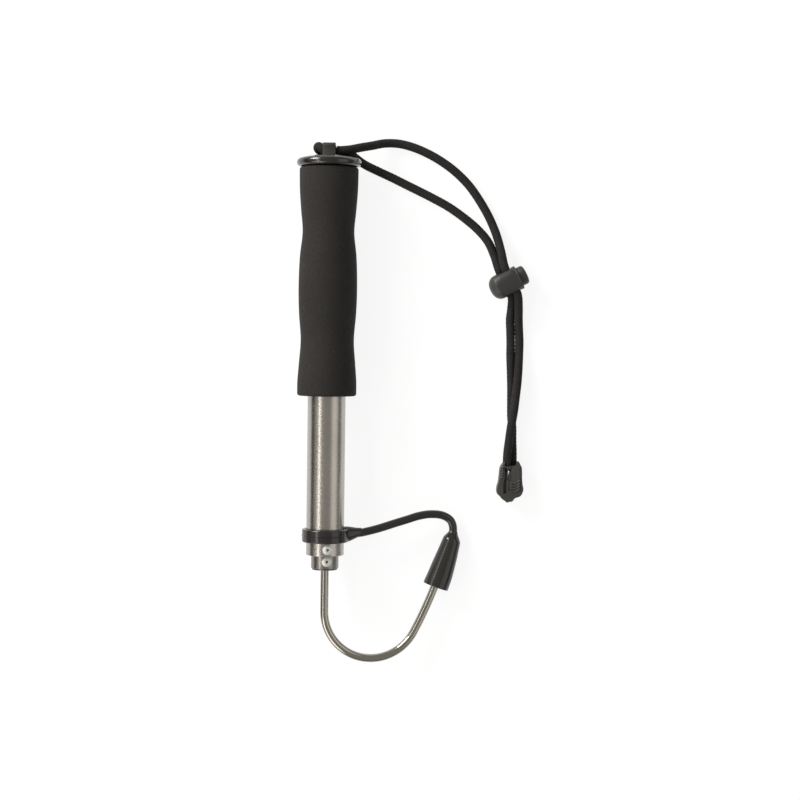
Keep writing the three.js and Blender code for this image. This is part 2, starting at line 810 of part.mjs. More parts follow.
// The end clip's two halves, closed over the ends of the cord.
function makeClipHalves() {
  const side = (shares, sign) => {
    const points = shares.map(([along, wide]) =>
      at(clipHalfWidth * wide * sign, clipTopY - clipLength * along),
    );
    return new THREE.SplineCurve(points).getPoints(clipSideSteps);
  };
  const outline = new THREE.Shape();
  outline.setFromPoints([...side(clipLeftShares, -1), ...side(clipRightShares, 1).reverse()]);
  const block = new THREE.ExtrudeGeometry(outline, {
    depth: clipThickness - clipEdge * 2,
    bevelThickness: clipEdge,
    bevelSize: clipEdge,
    bevelOffset: -clipEdge,
    bevelSegments: 2,
  });
  block.translate(clipX, 0, clipEdge + floorGap);
  const channels = [
    [clipUpperCordX, clipUpperCordZ],
    [clipLowerCordX, clipLowerCordZ],
  ].map(([x, z]) => {
    const hole = rod(cordRadius + seatGap, clipTopY - clipChannelDepth, clipTopY + overrun);
    return solid(hole.translate(x, 0, z));
  });
  const slitY = clipTopY - clipChannelDepth - clipSlitLength / 2;
  const slit = new THREE.BoxGeometry(clipSlitWidth, clipSlitLength, clipThickness + overrun * 2);
  slit.translate(clipX - clipSlitSetover, slitY, clipThickness / 2);
  const body = cut(solid(block), ...channels, solid(slit));
  const middle = clipThickness / 2;
  const halves = { cord_clip_back: -1, cord_clip_front: 1 };
  return Object.entries(halves).map(([name, sign]) => {
    const room = new THREE.BoxGeometry(clipLength * 2, clipLength * 3, clipThickness * 2);
    room.translate(clipX, clipTopY - clipLength / 2, middle + sign * (clipThickness + seatGap / 2));
    return piece(name, geometryOf(body.intersect(solid(room))), "plastic");
  });
}

// Everything turned about the gaff's axis stands in one group at the axis.
const axisGroup = new THREE.Group();
axisGroup.position.set(axisX, 0, axisHeight);
axisGroup.add(makeOuterTube(), makeGuideBush(), makeInnerTube(), makeStopSleeve());
axisGroup.add(makeShankPlug(), makeEndCap(), makeLug(), makeGrip(), makeBight());
axisGroup.add(makeRivet("mouth_rivet", outerTubeRadius, mouthRivetLength, mouthRivetY));
axisGroup.add(makeRivet("hook_rivet", innerTubeRadius, hookRivetLength, hookRivetY));

// The hook and its guard lie in a plane that drops from the axis to the surface.
const hookGroup = new THREE.Group();
hookGroup.rotation.y = restAngle;
hookGroup.add(makeHook(), makeGuardRing(), makeGuardStrap(), makeGuardSleeve());
axisGroup.add(hookGroup);

// The cord lock lies across the strands with its closed end to the left.
const lockGroup = new THREE.Group();
const lockLean = radians(lockTurn);
lockGroup.position.set(
  lockX - (lockLength / 2) * Math.cos(lockLean),
  lockY - (lockLength / 2) * Math.sin(lockLean),
  lockRadius + lockLip + floorGap,
);
lockGroup.rotation.z = lockLean;
lockGroup.add(makeLockBarrel(), makeLockPlunger(), makeLockSpring());

const gaff = new THREE.Group();
gaff.name = "fishing_gaff";
gaff.add(axisGroup, lockGroup);
gaff.add(makeStrand("upper_strand", upperStrandPoints));
gaff.add(makeStrand("lower_strand", lowerStrandPoints));
gaff.add(...makeClipHalves());

export default gaff;
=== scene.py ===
"""The looks of a telescopic fishing gaff: foam grip, steel tubes, guarded hook and cord lanyard.

Laid out as an add-on and run as a script. Lengths in the tables are millimetres in the gaff's own
directions, and metres everywhere else. The gaff lies along Y with its cap at +Y.
"""

import json
import math

import bmesh
import bpy
import numpy as np
from bpy.props import FloatProperty, FloatVectorProperty, IntProperty, PointerProperty
from mathutils import Matrix, Vector


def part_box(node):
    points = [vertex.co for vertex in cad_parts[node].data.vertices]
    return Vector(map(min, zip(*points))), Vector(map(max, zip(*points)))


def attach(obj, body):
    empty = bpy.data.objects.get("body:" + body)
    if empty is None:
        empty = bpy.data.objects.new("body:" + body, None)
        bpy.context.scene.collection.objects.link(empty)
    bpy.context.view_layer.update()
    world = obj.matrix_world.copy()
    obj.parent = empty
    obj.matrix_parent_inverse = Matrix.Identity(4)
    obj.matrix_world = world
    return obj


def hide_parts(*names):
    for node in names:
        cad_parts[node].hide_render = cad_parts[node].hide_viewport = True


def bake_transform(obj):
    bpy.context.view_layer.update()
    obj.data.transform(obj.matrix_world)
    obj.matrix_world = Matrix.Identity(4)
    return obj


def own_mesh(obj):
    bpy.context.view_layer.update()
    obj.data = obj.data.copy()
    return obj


bl_info = {
    "name": "Telescopic gaff",
    "version": (1, 0, 0),
    "blender": (4, 5, 0),
    "location": "3D View > Sidebar > Gaff",
    "description": "Builds the finished pieces of a telescopic fishing gaff round its packed frame",
    "category": "Object",
}

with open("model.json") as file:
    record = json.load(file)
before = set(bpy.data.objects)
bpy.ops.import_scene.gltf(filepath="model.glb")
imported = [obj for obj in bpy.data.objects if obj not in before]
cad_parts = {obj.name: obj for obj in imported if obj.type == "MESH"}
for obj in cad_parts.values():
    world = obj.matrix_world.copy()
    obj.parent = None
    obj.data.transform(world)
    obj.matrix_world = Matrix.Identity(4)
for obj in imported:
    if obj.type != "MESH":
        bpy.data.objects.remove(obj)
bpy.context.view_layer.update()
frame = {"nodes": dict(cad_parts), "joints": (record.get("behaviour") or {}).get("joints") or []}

MM = 0.001

# Places read from the frame
TUBE_LOW, TUBE_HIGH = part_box("outer_tube")
INNER_LOW, INNER_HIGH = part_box("inner_tube")
AXIS_X = (TUBE_LOW.x + TUBE_HIGH.x) / 2
AXIS_Z = (TUBE_LOW.z + TUBE_HIGH.z) / 2
TUBE_RADIUS = (TUBE_HIGH.x - TUBE_LOW.x) / 2 / MM
INNER_RADIUS = (INNER_HIGH.x - INNER_LOW.x) / 2 / MM
MOUTH_Y = TUBE_LOW.y / MM
TUBE_TOP_Y = TUBE_HIGH.y / MM
INNER_END_Y = INNER_LOW.y / MM
INNER_TOP_Y = INNER_HIGH.y / MM
CAP_TOP_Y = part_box("end_cap")[1].y / MM
PULL = Vector(next(j["axis"] for j in frame["joints"] if j["name"] == "guard_pull")).normalized()
GUARD_LEAN = math.acos(PULL.y)
HOOK_TILT = math.atan2(-PULL.z, PULL.x)

# The gaff's frame, the hook's plane in it, and the cord lock's frame
AXIS = Matrix.Translation((AXIS_X, 0, AXIS_Z))
HOOK = AXIS @ Matrix.Rotation(HOOK_TILT, 4, "Y")
LOCK_TURN = math.radians(27)
LOCK_CENTRE = (72.9, 71.4, 7.4)
LOCK_LENGTH = 18.6
LOCK = (
    Matrix.Translation([c * MM for c in LOCK_CENTRE])
    @ Matrix.Rotation(LOCK_TURN, 4, "Z")
    @ Matrix.Translation((-LOCK_LENGTH / 2 * MM, 0, 0))
    @ Matrix.Rotation(-math.pi / 2, 4, "Z")
)

# The camera, with its lens in millimetres and its places in metres, and the strip lamp's turn
CAMERA_LENS = 77.8
CAMERA_PLACE = (0.0123, 0.0379, 1.0218)
CAMERA_TARGET = (0.0123, 0.0031, 0.0188)
CAMERA_UP = (-0.0128, 1.0, 0.0)
STRIP_TURN = ((0.73, 0, -0.68), (0, 1, 0), (0.68, 0, 0.73))

# Sizes of the pieces, in millimetres
CAP_RADIUS = 18.75
CAP_EDGE = 2.2
CAP_RIM_HEIGHT = 4.8
CAP_SEAT_Y = CAP_TOP_Y - 6.3
CAP_FLAT = 8.0
CAP_SPIGOT = (9.9, 8.4, 16.0)
CAP_HOLLOW_Y = CAP_TOP_Y - 4.4
LUG_WIDTH = 7.3
LUG_STRIP = 1.5
LUG_EYE = 6.4
LUG_RISE = 7.5
LUG_CORNER = 1.9
LUG_TURN_RISE = 3.3
LUG_FOOT_Y = CAP_TOP_Y - 4.7
TUBE_WALL = 0.8
SAWN_EDGE = 0.35
RIVET_RADIUS = 2.95
RIVET_HOLE = 0.76
RIVET_CROWN = 1.2
RIVET_SEAT = 0.28
RIVET_TURN = math.radians(10)
ROD_RADIUS = 2.4
ROD_ROOM = 0.3
HOOK_BEND = 28.2
HOOK_BEND_SWEEP = math.radians(152)
HOOK_ARM_BEND = 252.0
HOOK_ARM_SWEEP = math.radians(8)
HOOK_POINT = 19.0
HOOK_TAPER = 15.0
PLUG_END_Y = INNER_END_Y - 0.9
PLUG_DEPTH = 22
HOOK_SHANK = 24.4
BEND_CENTRE_Y = PLUG_END_Y - HOOK_SHANK
GUARD_MOUTH = 7.2
GUARD_LIP = 1.4
GUARD_SHOULDER = 5.3
GUARD_LENGTH = 28.5
GUARD_NECK = 6.0
GUARD_BACK = 5.6
GUARD_DEPTH = 26
RING_Y = MOUTH_Y + 11.3
RING_RADIUS = 13.5
RING_HEIGHT = 7.6
RING_ROOM = 0.28
SEAM_HALF = 0.36
SEAM_RISE = 0.34
CORD_RADIUS = 2.4
BRAID_RADIUS = 2.52
LOCK_RADIUS = 7.1
LOCK_DOME = 3.5
LOCK_BORE = 5.95
LOCK_WINDOW = (7.1, 16.3, 9.2)
BUTTON_SHOWING = 4.7
BUTTON_TRAVEL = 1.9
CLIP_X = 77.6
CLIP_TOP_Y = -32.6
CLIP_LENGTH = 24.2
CLIP_HALF_WIDTH = 7.8
CLIP_THICKNESS = 9.9
CLIP_BACK = 0.05
CLIP_FRONT = CLIP_THICKNESS + 0.05
CLIP_PARTING = 0.15
CLIP_EDGE = 0.9
CLIP_CHANNELS = ((75.7, 6.65), (79.15, 3.1))
CLIP_VALLEY_DEPTH = 1.9
GROOVE_RADIUS = 0.5

# The steps from rib to rib on the clip, in metres
RIB_PITCH = (-0.0001, -0.0017, 0.0)
KNURL_PITCH = (-0.0001, -0.0015, 0.0)

# The sleeve's outside against a plain cone: along it, its shift to the side, and its widening
GUARD_SWELL = (
    (0, 7, 13, 20, 26, 28.5, 31.5, 34.5),
    (0.45, 0.7, 0.55, 0.4, 0.1, 0, -0.35, -0.94),
    (0.4, 0.6, 0.6, 0.42, 0.2, 0.1, 0.15, 0.15),
)

# Half the grip's width along its length, as shares of the length from the cap end
GRIP_LENGTH = 132.0
GRIP_RADIUS = 17.15
GRIP_EDGE = 1.4
GRIP_SHARES = [
    (0, 0.995), (0.1, 0.98), (0.19, 0.93), (0.28, 0.873), (0.39, 0.957), (0.53, 0.99),
    (0.64, 0.965), (0.755, 0.9), (0.86, 0.955), (0.94, 1), (1, 1),
]

# The strap between ring and sleeve, as shares of its reach and rise
STRAP_RISE = 10.5
STRAP_SHARES = [
    (0, 0), (0.12, 0.1), (0.25, 0.3), (0.375, 0.51), (0.5, 0.71), (0.625, 0.91),
    (0.75, 0.995), (0.87, 0.91), (0.955, 0.65), (1.008, 0.3), (1, 0.06),
]

# The clip's two sides, as shares of its length from the cord end and of half its width
CLIP_RIGHT_SHARES = [
    (0.008, 0.654), (0.058, 0.73), (0.132, 0.846), (0.24, 0.885), (0.43, 0.897),
    (0.554, 0.936), (0.674, 1), (0.769, 0.923), (0.843, 0.756), (0.872, 0.513),
    (0.897, 0.346), (0.942, 0.256), (0.971, 0.141), (0.979, -0.05),
]
CLIP_LEFT_SHARES = [
    (0, 0.4), (0.033, 0.5), (0.091, 0.641), (0.161, 0.756), (0.376, 0.833),
    (0.512, 0.885), (0.632, 0.987), (0.727, 1), (0.789, 0.96), (0.843, 0.782),
    (0.897, 0.654), (0.95, 0.42), (1, 0.23),
]

# Cuts in the clip, in millimetres right of its middle and below its cord end
CLIP_TEAR = [
    (-1.5, 4.6), (-0.1, 4.4), (0.25, 5.3), (-0.25, 6.6), (-0.8, 8.6), (-1.35, 11.0), (-1.85, 11.1),
    (-1.6, 9), (-1.35, 6.8),
]
CLIP_MOUTH = [(-3.4, -2), (3.5, -2), (3.45, 1.4), (2.9, 2.3), (-2.6, 3), (-3.3, 2.3)]
CLIP_VALLEY = [
    (-3.4, 3.6), (-1.7, 4.1), (-1.6, 9.5), (-2.2, 11.2), (-2.25, 18.4), (-3.9, 19), (-4.2, 14),
    (-3.4, 9.5),
]
CLIP_GROOVES = [
    [(-0.75, 10.6), (-0.55, 14), (-0.2, 17.4)],
    [(5.9, 3.4), (6.05, 9), (6.5, 13.5), (6.3, 17.2)],
    [(0.6, 3.2), (0.45, 7), (0.5, 11.6)],
]
CLIP_KNURL = [(-5.6, 3.9), (-4.9, 3.5), (-4.1, 2.9)]

# The cord's two stretches from the lug to the end clip, in millimetres
UPPER_ROUTE = [
    (-26, 146.9, 18.8), (-23.5, 146.95, 18.75), (-18.6, 147.5, 17.9), (-12.5, 149.1, 14.6),
    (-6.2, 150.8, 9.4), (1.9, 152.85, 4.6), (10.1, 152.85, 2.75), (18.4, 150.85, 2.6),
    (26.7, 147.45, 2.6), (35, 142.85, 2.6), (43.3, 136.8, 2.6), (51.7, 128.45, 2.6),
    (60.1, 116.25, 2.6), (64.5, 108.05, 2.7), (67.9, 99.7, 3.5), (70.4, 90.5, 6.4),
    (72.6, 80.9, 9.2), (76.42, 73.19, 9.2), (80.24, 65.5, 9.2), (81.1, 57.9, 7.3),
    (81.35, 51.4, 4.6), (81.8, 43.9, 2.9), (82.15, 37.9, 2.6), (82.05, 30.9, 2.9),
    (81.7, 22.9, 5), (81.15, 14.4, 6.35), (80.3, 6.4, 7.1), (79.25, -2.7, 7.55),
    (77.75, -12.1, 7.55), (76.75, -20.1, 7.2), (75.9, -27.4, 6.8), (75.7, -33.2, 6.65),
    (75.7, -38.1, 6.65),
]
LOWER_ROUTE = [
    (-26, 146.9, 11.3), (-24, 146.9, 11.15), (-21.2, 146.55, 10.15), (-18.2, 145.6, 8.2),
    (-15.4, 143.9, 6), (-12.5, 141.85, 4.1), (-9.2, 139.95, 2.95), (-2.1, 136.65, 2.6),
    (6.2, 132.9, 2.6), (14.5, 128.9, 2.6), (22.8, 124.95, 2.6), (31.1, 120.85, 2.6),
    (39.5, 116.3, 2.6), (47.8, 110.65, 2.6), (56, 104, 2.6), (62.6, 96.6, 2.6),
    (66.45, 88.6, 3.2), (69.4, 79.5, 5.6), (73.3, 71.6, 5.6), (77.1, 63.9, 5.6),
    (77.1, 56.9, 3.5), (76.5, 50.9, 2.6), (76.8, 43.9, 2.6), (77.05, 36.9, 2.6),
    (77.05, 29.9, 2.6), (77.45, 20.9, 2.6), (77.85, 10.9, 2.6), (77.95, 1.9, 2.6),
    (78.1, -6.1, 2.6), (78.7, -13.1, 2.6), (78.8, -20.1, 2.65), (79.1, -27.4, 2.9),
    (79.15, -33.2, 3.1), (79.15, -38.1, 3.1),
]


def colour(name, description, value):
    """A colour that a user can change."""
    return FloatVectorProperty(
        name=name, description=description, default=value, size=3, subtype="COLOR", min=0, max=1
    )


def length(name, description, value):
    """A length that a user can change, in metres."""
    return FloatProperty(name=name, description=description, default=value, unit="LENGTH", min=0)


def count(name, description, value, least, most):
    """A number of like things that a user can change."""
    return IntProperty(name=name, description=description, default=value, min=least, max=most)


class GaffFinishes(bpy.types.PropertyGroup):
    """The gaff's colours."""

    tube_steel: colour("Tube steel", "Brushed steel of the outer tube", (0.44, 0.41, 0.37))
    inner_steel: colour("Inner steel", "Steel of the inner tube", (0.27, 0.25, 0.23))
    hook_steel: colour("Hook steel", "Polished steel of the hook", (0.38, 0.355, 0.305))
    rivet_steel: colour("Rivet steel", "Bright steel of the rivets", (0.71, 0.7, 0.655))
    cap_black: colour("Cap black", "Black of the end cap", (0.016, 0.0145, 0.013))
    lug_black: colour("Lug black", "Black of the lanyard lug", (0.032, 0.0305, 0.027))
    foam_black: colour("Foam black", "Black of the foam grip", (0.0175, 0.015, 0.013))
    rubber_black: colour("Rubber black", "Black of the point guard", (0.0215, 0.0192, 0.0165))
    plastic_grey: colour("Plastic grey", "Grey of the cord lock", (0.026, 0.0245, 0.0222))
    clip_grey: colour("Clip grey", "Grey of the cord's end clip", (0.04, 0.0375, 0.033))
    cord_black: colour("Cord black", "Black of the braided cord", (0.0175, 0.0155, 0.0145))
    floor_white: colour("Floor white", "White of the surface below", (0.8, 0.8, 0.8))


class GaffSizes(bpy.types.PropertyGroup):
    """The gaff's smaller sizes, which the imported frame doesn't fix."""

    braid_rise: length("Braid rise", "How far a yarn of the cord stands proud", 0.00016)
    braid_step: length("Braid step", "Distance between rings along the cord", 0.00032)
    spring_wire: length("Spring wire", "Thickness of the lock spring's wire", 0.0005)
    rib_radius: length("Rib radius", "Half the width of a rib on the end clip", 0.00062)
    braid_yarns: count("Braid yarns", "Yarns each way round the cord", 8, 3, 24)
    rib_count: count("Rib count", "Curved ribs on the end clip", 4, 0, 12)
    knurl_count: count("Knurl count", "Short ribs beside the slit", 5, 0, 16)


def finishes():
    return bpy.context.scene.gaff_finishes


def sizes():
    return bpy.context.scene.gaff_sizes


# Node trees

def add_node(tree, kind, inputs=None, **settings):
    """A node with its settings, and its inputs by name or number as values or sockets."""
    node = tree.nodes.new(kind)
    for key, value in settings.items():
        setattr(node, key, value)
    for key, value in (inputs or {}).items():
        if isinstance(value, bpy.types.NodeSocket):
            tree.links.new(value, node.inputs[key])
        else:
            node.inputs[key].default_value = value
    return node


def math_node(tree, operation, *values, clamp=False):
    """The result of a math node on values or sockets."""
    inputs = dict(enumerate(values))
    return add_node(tree, "ShaderNodeMath", inputs, operation=operation, use_clamp=clamp).outputs[0]


def new_group(name, kind, inputs, outputs):
    """A node group with named inputs (name, type, default) and outputs (name, type)."""
    tree = bpy.data.node_groups.new(name, f"{kind}NodeTree")
    for label, sort, value in inputs:
        socket = tree.interface.new_socket(label, in_out="INPUT", socket_type=f"NodeSocket{sort}")
        if value is not None:
            socket.default_value = value
    for label, sort in outputs:
        tree.interface.new_socket(label, in_out="OUTPUT", socket_type=f"NodeSocket{sort}")
    source = tree.nodes.new("NodeGroupInput")
    sink = tree.nodes.new("NodeGroupOutput")
    return tree, source.outputs, sink.inputs


def object_place(tree):
    return add_node(tree, "ShaderNodeTexCoord").outputs["Object"]


def noise(tree, place, scale, detail):
    """The value of a noise at a place."""
    inputs = {"Vector": place, "Scale": scale, "Detail": detail}
    return add_node(tree, "ShaderNodeTexNoise", inputs).outputs["Fac"]


def grain_group():
    """Fine grain: a height and a mottle that vary over a moulded, painted or foamed surface."""
    inputs = [("Scale", "Float", 900.0), ("Mottle Scale", "Float", 60.0)]
    outputs = [("Height", "Float"), ("Mottle", "Float")]
    tree, given, made = new_group("Surface grain", "Shader", inputs, outputs)
    place = object_place(tree)
    tree.links.new(noise(tree, place, given["Scale"], 3.0), made["Height"])
    tree.links.new(noise(tree, place, given["Mottle Scale"], 4.0), made["Mottle"])
    return tree


def brush_group():
    """Fine lines of a brushed or drawn metal, along the direction that Stretch leaves long."""
    inputs = [("Stretch", "Vector", (1.0, 1.0, 1.0)), ("Scale", "Float", 2500.0)]
    outputs = [("Lines", "Float"), ("Scuffs", "Float")]
    tree, given, made = new_group("Brushed lines", "Shader", inputs, outputs)
    place = object_place(tree)
    both = {0: place, 1: given["Stretch"]}
    stretched = add_node(tree, "ShaderNodeVectorMath", both, operation="MULTIPLY").outputs[0]
    tree.links.new(noise(tree, stretched, given["Scale"], 2.0), made["Lines"])
    tree.links.new(noise(tree, place, 45.0, 6.0), made["Scuffs"])
    return tree


def wear_and_sheen_group():
    """Paler sharp edges, broken up by noise: the share of a surface painted a paler tone, partly as rubbed
    edges and partly as a painted highlight where edges catch the light.
    """
    inputs = [("Amount", "Float", 0.5), ("Breakup", "Float", 400.0)]
    tree, given, made = new_group("Edge wear", "Shader", inputs, [("Wear and sheen", "Float")])
    shape = add_node(tree, "ShaderNodeNewGeometry").outputs["Pointiness"]
    patches = noise(tree, object_place(tree), given["Breakup"], 3.0)
    sharp = math_node(tree, "MULTIPLY", math_node(tree, "SUBTRACT", shape, 0.52), 9.0, clamp=True)
    rough = math_node(tree, "MULTIPLY", sharp, patches)
    tree.links.new(math_node(tree, "MULTIPLY", rough, given["Amount"]), made["Wear and sheen"])
    return tree


class Finish:
    """A material in the making: its tree, its shader and the groups placed in it."""

    def __init__(self, name, base, roughness, metallic=0.0):
        self.material = bpy.data.materials.new(name)
        self.material.use_nodes = True
        self.material.diffuse_color = (*base, 1)
        self.tree = self.material.node_tree
        self.shader = self.tree.nodes["Principled BSDF"]
        self.base = base
        self.set(Base_Color=(*base, 1), Roughness=roughness, Metallic=metallic)

    def set(self, node=None, **values):
        """Sets a node's own sockets, the shader's if none is named."""
        for key, value in values.items():
            (node or self.shader).inputs[key.replace("_", " ")].default_value = value

    def feed(self, socket, name):
        """Links a socket to the shader's input of that name."""
        self.tree.links.new(socket, self.shader.inputs[name])

    def group(self, tree, **values):
        """The outputs of a group with its own values."""
        node = add_node(self.tree, "ShaderNodeGroup", node_tree=tree)
        self.set(node, **values)
        return node.outputs

    def spread(self, factor, low, high):
        """A factor round a half, spread from low to high."""
        limits = {"Value": factor, "From Min": 0.3, "From Max": 0.7, "To Min": low, "To Max": high}
        return add_node(self.tree, "ShaderNodeMapRange", limits).outputs[0]

    def vary_colour(self, factor, low, high):
        """Shades the base colour from low to high times itself."""
        inputs = {0: self.base, "Scale": self.spread(factor, low, high)}
        scaled = add_node(self.tree, "ShaderNodeVectorMath", inputs, operation="SCALE").outputs[0]
        self.feed(scaled, "Base Color")
        return scaled

    def vary_roughness(self, factor, low, high):
        self.feed(self.spread(factor, low, high), "Roughness")

    def bump(self, height, strength, distance):
        inputs = {"Height": height, "Strength": strength, "Distance": distance}
        self.feed(add_node(self.tree, "ShaderNodeBump", inputs).outputs[0], "Normal")

    def wear_and_sheen(self, tone, factor, wear_and_sheen_tone):
        """Mixes a paler colour over the surface's own tone where factor says: pale specks, rubbed edges, and
        edges painted paler as a highlight.
        """
        inputs = {0: factor, 6: tone, 7: (*wear_and_sheen_tone, 1)}
        self.feed(add_node(self.tree, "ShaderNodeMix", inputs, data_type="RGBA").outputs[2], "Base Color")


def steel(name, base, roughness, stretch, groups, lined):
    """Brushed or drawn steel, whose lines run along the direction that stretch leaves long."""
    made = Finish(name, base, sum(roughness) / 2, metallic=1.0)
    lines = made.group(groups["brush"], Stretch=stretch)
    made.vary_colour(lines["Scuffs"], 0.95, 1.05)
    if not lined:
        made.vary_roughness(lines["Lines"], *roughness)
        return made
    grain = made.group(groups["grain"], Scale=1500.0, Mottle_Scale=300.0)["Height"]
    made.vary_roughness(grain, *roughness)
    faint = math_node(made.tree, "MULTIPLY", lines["Lines"], 0.25)
    made.bump(math_node(made.tree, "ADD", grain, faint), 0.35, 0.00003)
    return made


def moulded(name, base, roughness, groups, grain, strength, wear_and_sheen_tone):
    """Moulded plastic or rubber, with a fine grain and sharp edges a little paler, partly rubbed and partly
    a painted highlight.
    """
    made = Finish(name, base, sum(roughness) / 2)
    skin = made.group(groups["grain"], Scale=grain, Mottle_Scale=70.0)
    tone = made.vary_colour(skin["Mottle"], 0.88, 1.12)
    made.vary_roughness(skin["Mottle"], *roughness)
    if strength:
        made.bump(skin["Height"], strength, 0.00005)
    if wear_and_sheen_tone:
        # sharp edges painted paler: rubbed edges, and a painted highlight along the rims
        made.wear_and_sheen(tone, made.group(groups["wear_and_sheen"], Amount=0.8)["Wear and sheen"], wear_and_sheen_tone)
    return made


MATERIALS = {}


def make_materials():
    """Every finish of the gaff, by name."""
    tone = finishes()
    groups = {"grain": grain_group(), "brush": brush_group(), "wear_and_sheen": wear_and_sheen_group()}
    along_tube = (1.0, 0.02, 1.0)
    every_way = (0.5, 0.5, 0.5)
    made = {}
    for key, base, roughness, stretch, lined in (
        ("tube", tone.tube_steel, (0.24, 0.34), along_tube, True),
        ("inner", tone.inner_steel, (0.26, 0.36), along_tube, True),
        ("hook", tone.hook_steel, (0.12, 0.19), (0.4, 0.05, 0.4), False),
        ("rivet", tone.rivet_steel, (0.48, 0.6), every_way, False),
        ("plug", tone.inner_steel, (0.3, 0.42), every_way, True),
    ):
        name = f"{key.capitalize()} steel"
        made[key] = steel(name, tuple(base), roughness, stretch, groups, lined)
    made["rivet"].set(Metallic=0.6)

    # the rivet's hole is painted near-black: painted shade in the recess round the mandrel stub
    bore = made["bore"] = Finish("Rivet hole painted shade", (0.012, 0.011, 0.01), 0.6)
    bore.vary_colour(bore.group(groups["grain"], Scale=3000.0)["Mottle"], 0.8, 1.2)

    cap = made["cap"] = Finish("Cap black", tuple(tone.cap_black), 0.3, metallic=0.35)
    cap.set(Coat_Weight=0.6, Coat_Roughness=0.12)
    skin = cap.group(groups["grain"], Scale=1500.0, Mottle_Scale=90.0)
    shade = cap.vary_colour(skin["Mottle"], 0.9, 1.15)
    cap.vary_roughness(skin["Mottle"], 0.2, 0.3)
    cap.wear_and_sheen(shade, cap.group(groups["wear_and_sheen"], Amount=0.7)["Wear and sheen"], (0.16, 0.15, 0.14))

    lug = made["lug"] = Finish("Lug black", tuple(tone.lug_black), 0.42, metallic=0.3)
    skin = lug.group(groups["grain"], Scale=2200.0, Mottle_Scale=120.0)
    shade = lug.vary_colour(skin["Mottle"], 0.85, 1.2)
    lug.bump(skin["Height"], 0.12, 0.00005)
    lug.wear_and_sheen(shade, lug.group(groups["wear_and_sheen"], Amount=0.9)["Wear and sheen"], (0.2, 0.19, 0.18))

    foam = made["foam"] = Finish("Grip foam", tuple(tone.foam_black), 0.82)
    foam.set(Specular_IOR_Level=0.3)
    place = object_place(foam.tree)
    cells = add_node(foam.tree, "ShaderNodeTexVoronoi", {"Vector": place, "Scale": 2600.0})
    skin = foam.group(groups["grain"], Scale=700.0, Mottle_Scale=35.0)
    pits = math_node(foam.tree, "MULTIPLY", cells.outputs["Distance"], 0.7)
    shade = foam.vary_colour(skin["Mottle"], 0.88, 1.12)
    dots = add_node(foam.tree, "ShaderNodeTexVoronoi", {"Vector": place, "Scale": 230.0}).outputs
    near = math_node(foam.tree, "LESS_THAN", dots["Distance"], 0.045)
    chosen = add_node(foam.tree, "ShaderNodeSeparateColor", {0: dots["Color"]})
    rare = math_node(foam.tree, "GREATER_THAN", chosen.outputs[0], 0.86)
    foam.wear_and_sheen(shade, math_node(foam.tree, "MULTIPLY", near, rare), (0.16, 0.14, 0.12))
    foam.vary_roughness(skin["Height"], 0.74, 0.9)
    foam.bump(math_node(foam.tree, "ADD", pits, skin["Height"]), 0.35, 0.00012)

    for key, name, base, roughness, grain, strength, wear_and_sheen_tone in (
        ("rubber", "Guard rubber", tone.rubber_black, (0.15, 0.22), 1600.0, 0.0, None),
        # the lock plastic's pale edge tone is a painted highlight where its rims catch the light, as well as
        # rubbing
        ("plastic", "Lock plastic", tone.plastic_grey, (0.42, 0.52), 2400.0, 0.1, (0.12, 0.11, 0.1)),
        ("clip", "Clip plastic", tone.clip_grey, (0.4, 0.55), 2000.0, 0.3, (0.13, 0.12, 0.11)),
        ("nylon", "Natural nylon", (0.62, 0.59, 0.52), (0.45, 0.55), 1500.0, 0.08, None),
    ):
        made[key] = moulded(name, tuple(base), roughness, groups, grain, strength, wear_and_sheen_tone)

    cord = made["cord"] = Finish("Braided cord", tuple(tone.cord_black), 0.8)
    cord.set(Specular_IOR_Level=0.25)
    yarn = add_node(cord.tree, "ShaderNodeAttribute", attribute_name="yarn")
    skin = cord.group(groups["grain"], Scale=4000.0, Mottle_Scale=200.0)
    # the braid's colour follows yarn height: the hollows between yarns are painted darker as shade, the
    # crowns paler as painted highlight
    cord.vary_colour(yarn.outputs["Fac"], 0.45, 1.15)
    cord.vary_roughness(skin["Mottle"], 0.7, 0.9)
    cord.bump(skin["Height"], 0.3, 0.00008)

    for key, finish in made.items():
        MATERIALS[key] = finish.material


# Meshes

def finish_mesh(obj, angle=32.0):
    """Faces outward, smooth, and sharp where the surface turns by more than angle degrees."""
    work = bmesh.new()
    work.from_mesh(obj.data)
    bmesh.ops.remove_doubles(work, verts=work.verts, dist=1e-6)
    bmesh.ops.dissolve_degenerate(work, edges=work.edges, dist=1e-7)
    bmesh.ops.recalc_face_normals(work, faces=work.faces)
    limit = math.radians(angle)
    for face in work.faces:
        face.smooth = True
    for edge in work.edges:
        edge.smooth = edge.is_manifold and edge.calc_face_angle(0) < limit
    work.to_mesh(obj.data)
    work.free()
    obj.data.update()


def linked_object(name, mesh):
    """A new object in the scene."""
    obj = bpy.data.objects.new(name, mesh)
    bpy.context.scene.collection.objects.link(obj)
    return obj


def raw_mesh(name, points, faces):
    """A mesh from points in millimetres."""
    mesh = bpy.data.meshes.new(name)
    mesh.from_pydata([Vector(p) * MM for p in points], [], faces)
    return mesh


def mesh_object(name, points, faces, *materials, place=None, angle=32.0):
    """A new object from points in millimetres, put in place and finished."""
    mesh = raw_mesh(name, points, faces)
    if place is not None:
        mesh.transform(place)
    obj = linked_object(name, mesh)
    for key in materials:
        mesh.materials.append(MATERIALS[key])
    finish_mesh(obj, angle)
    return obj


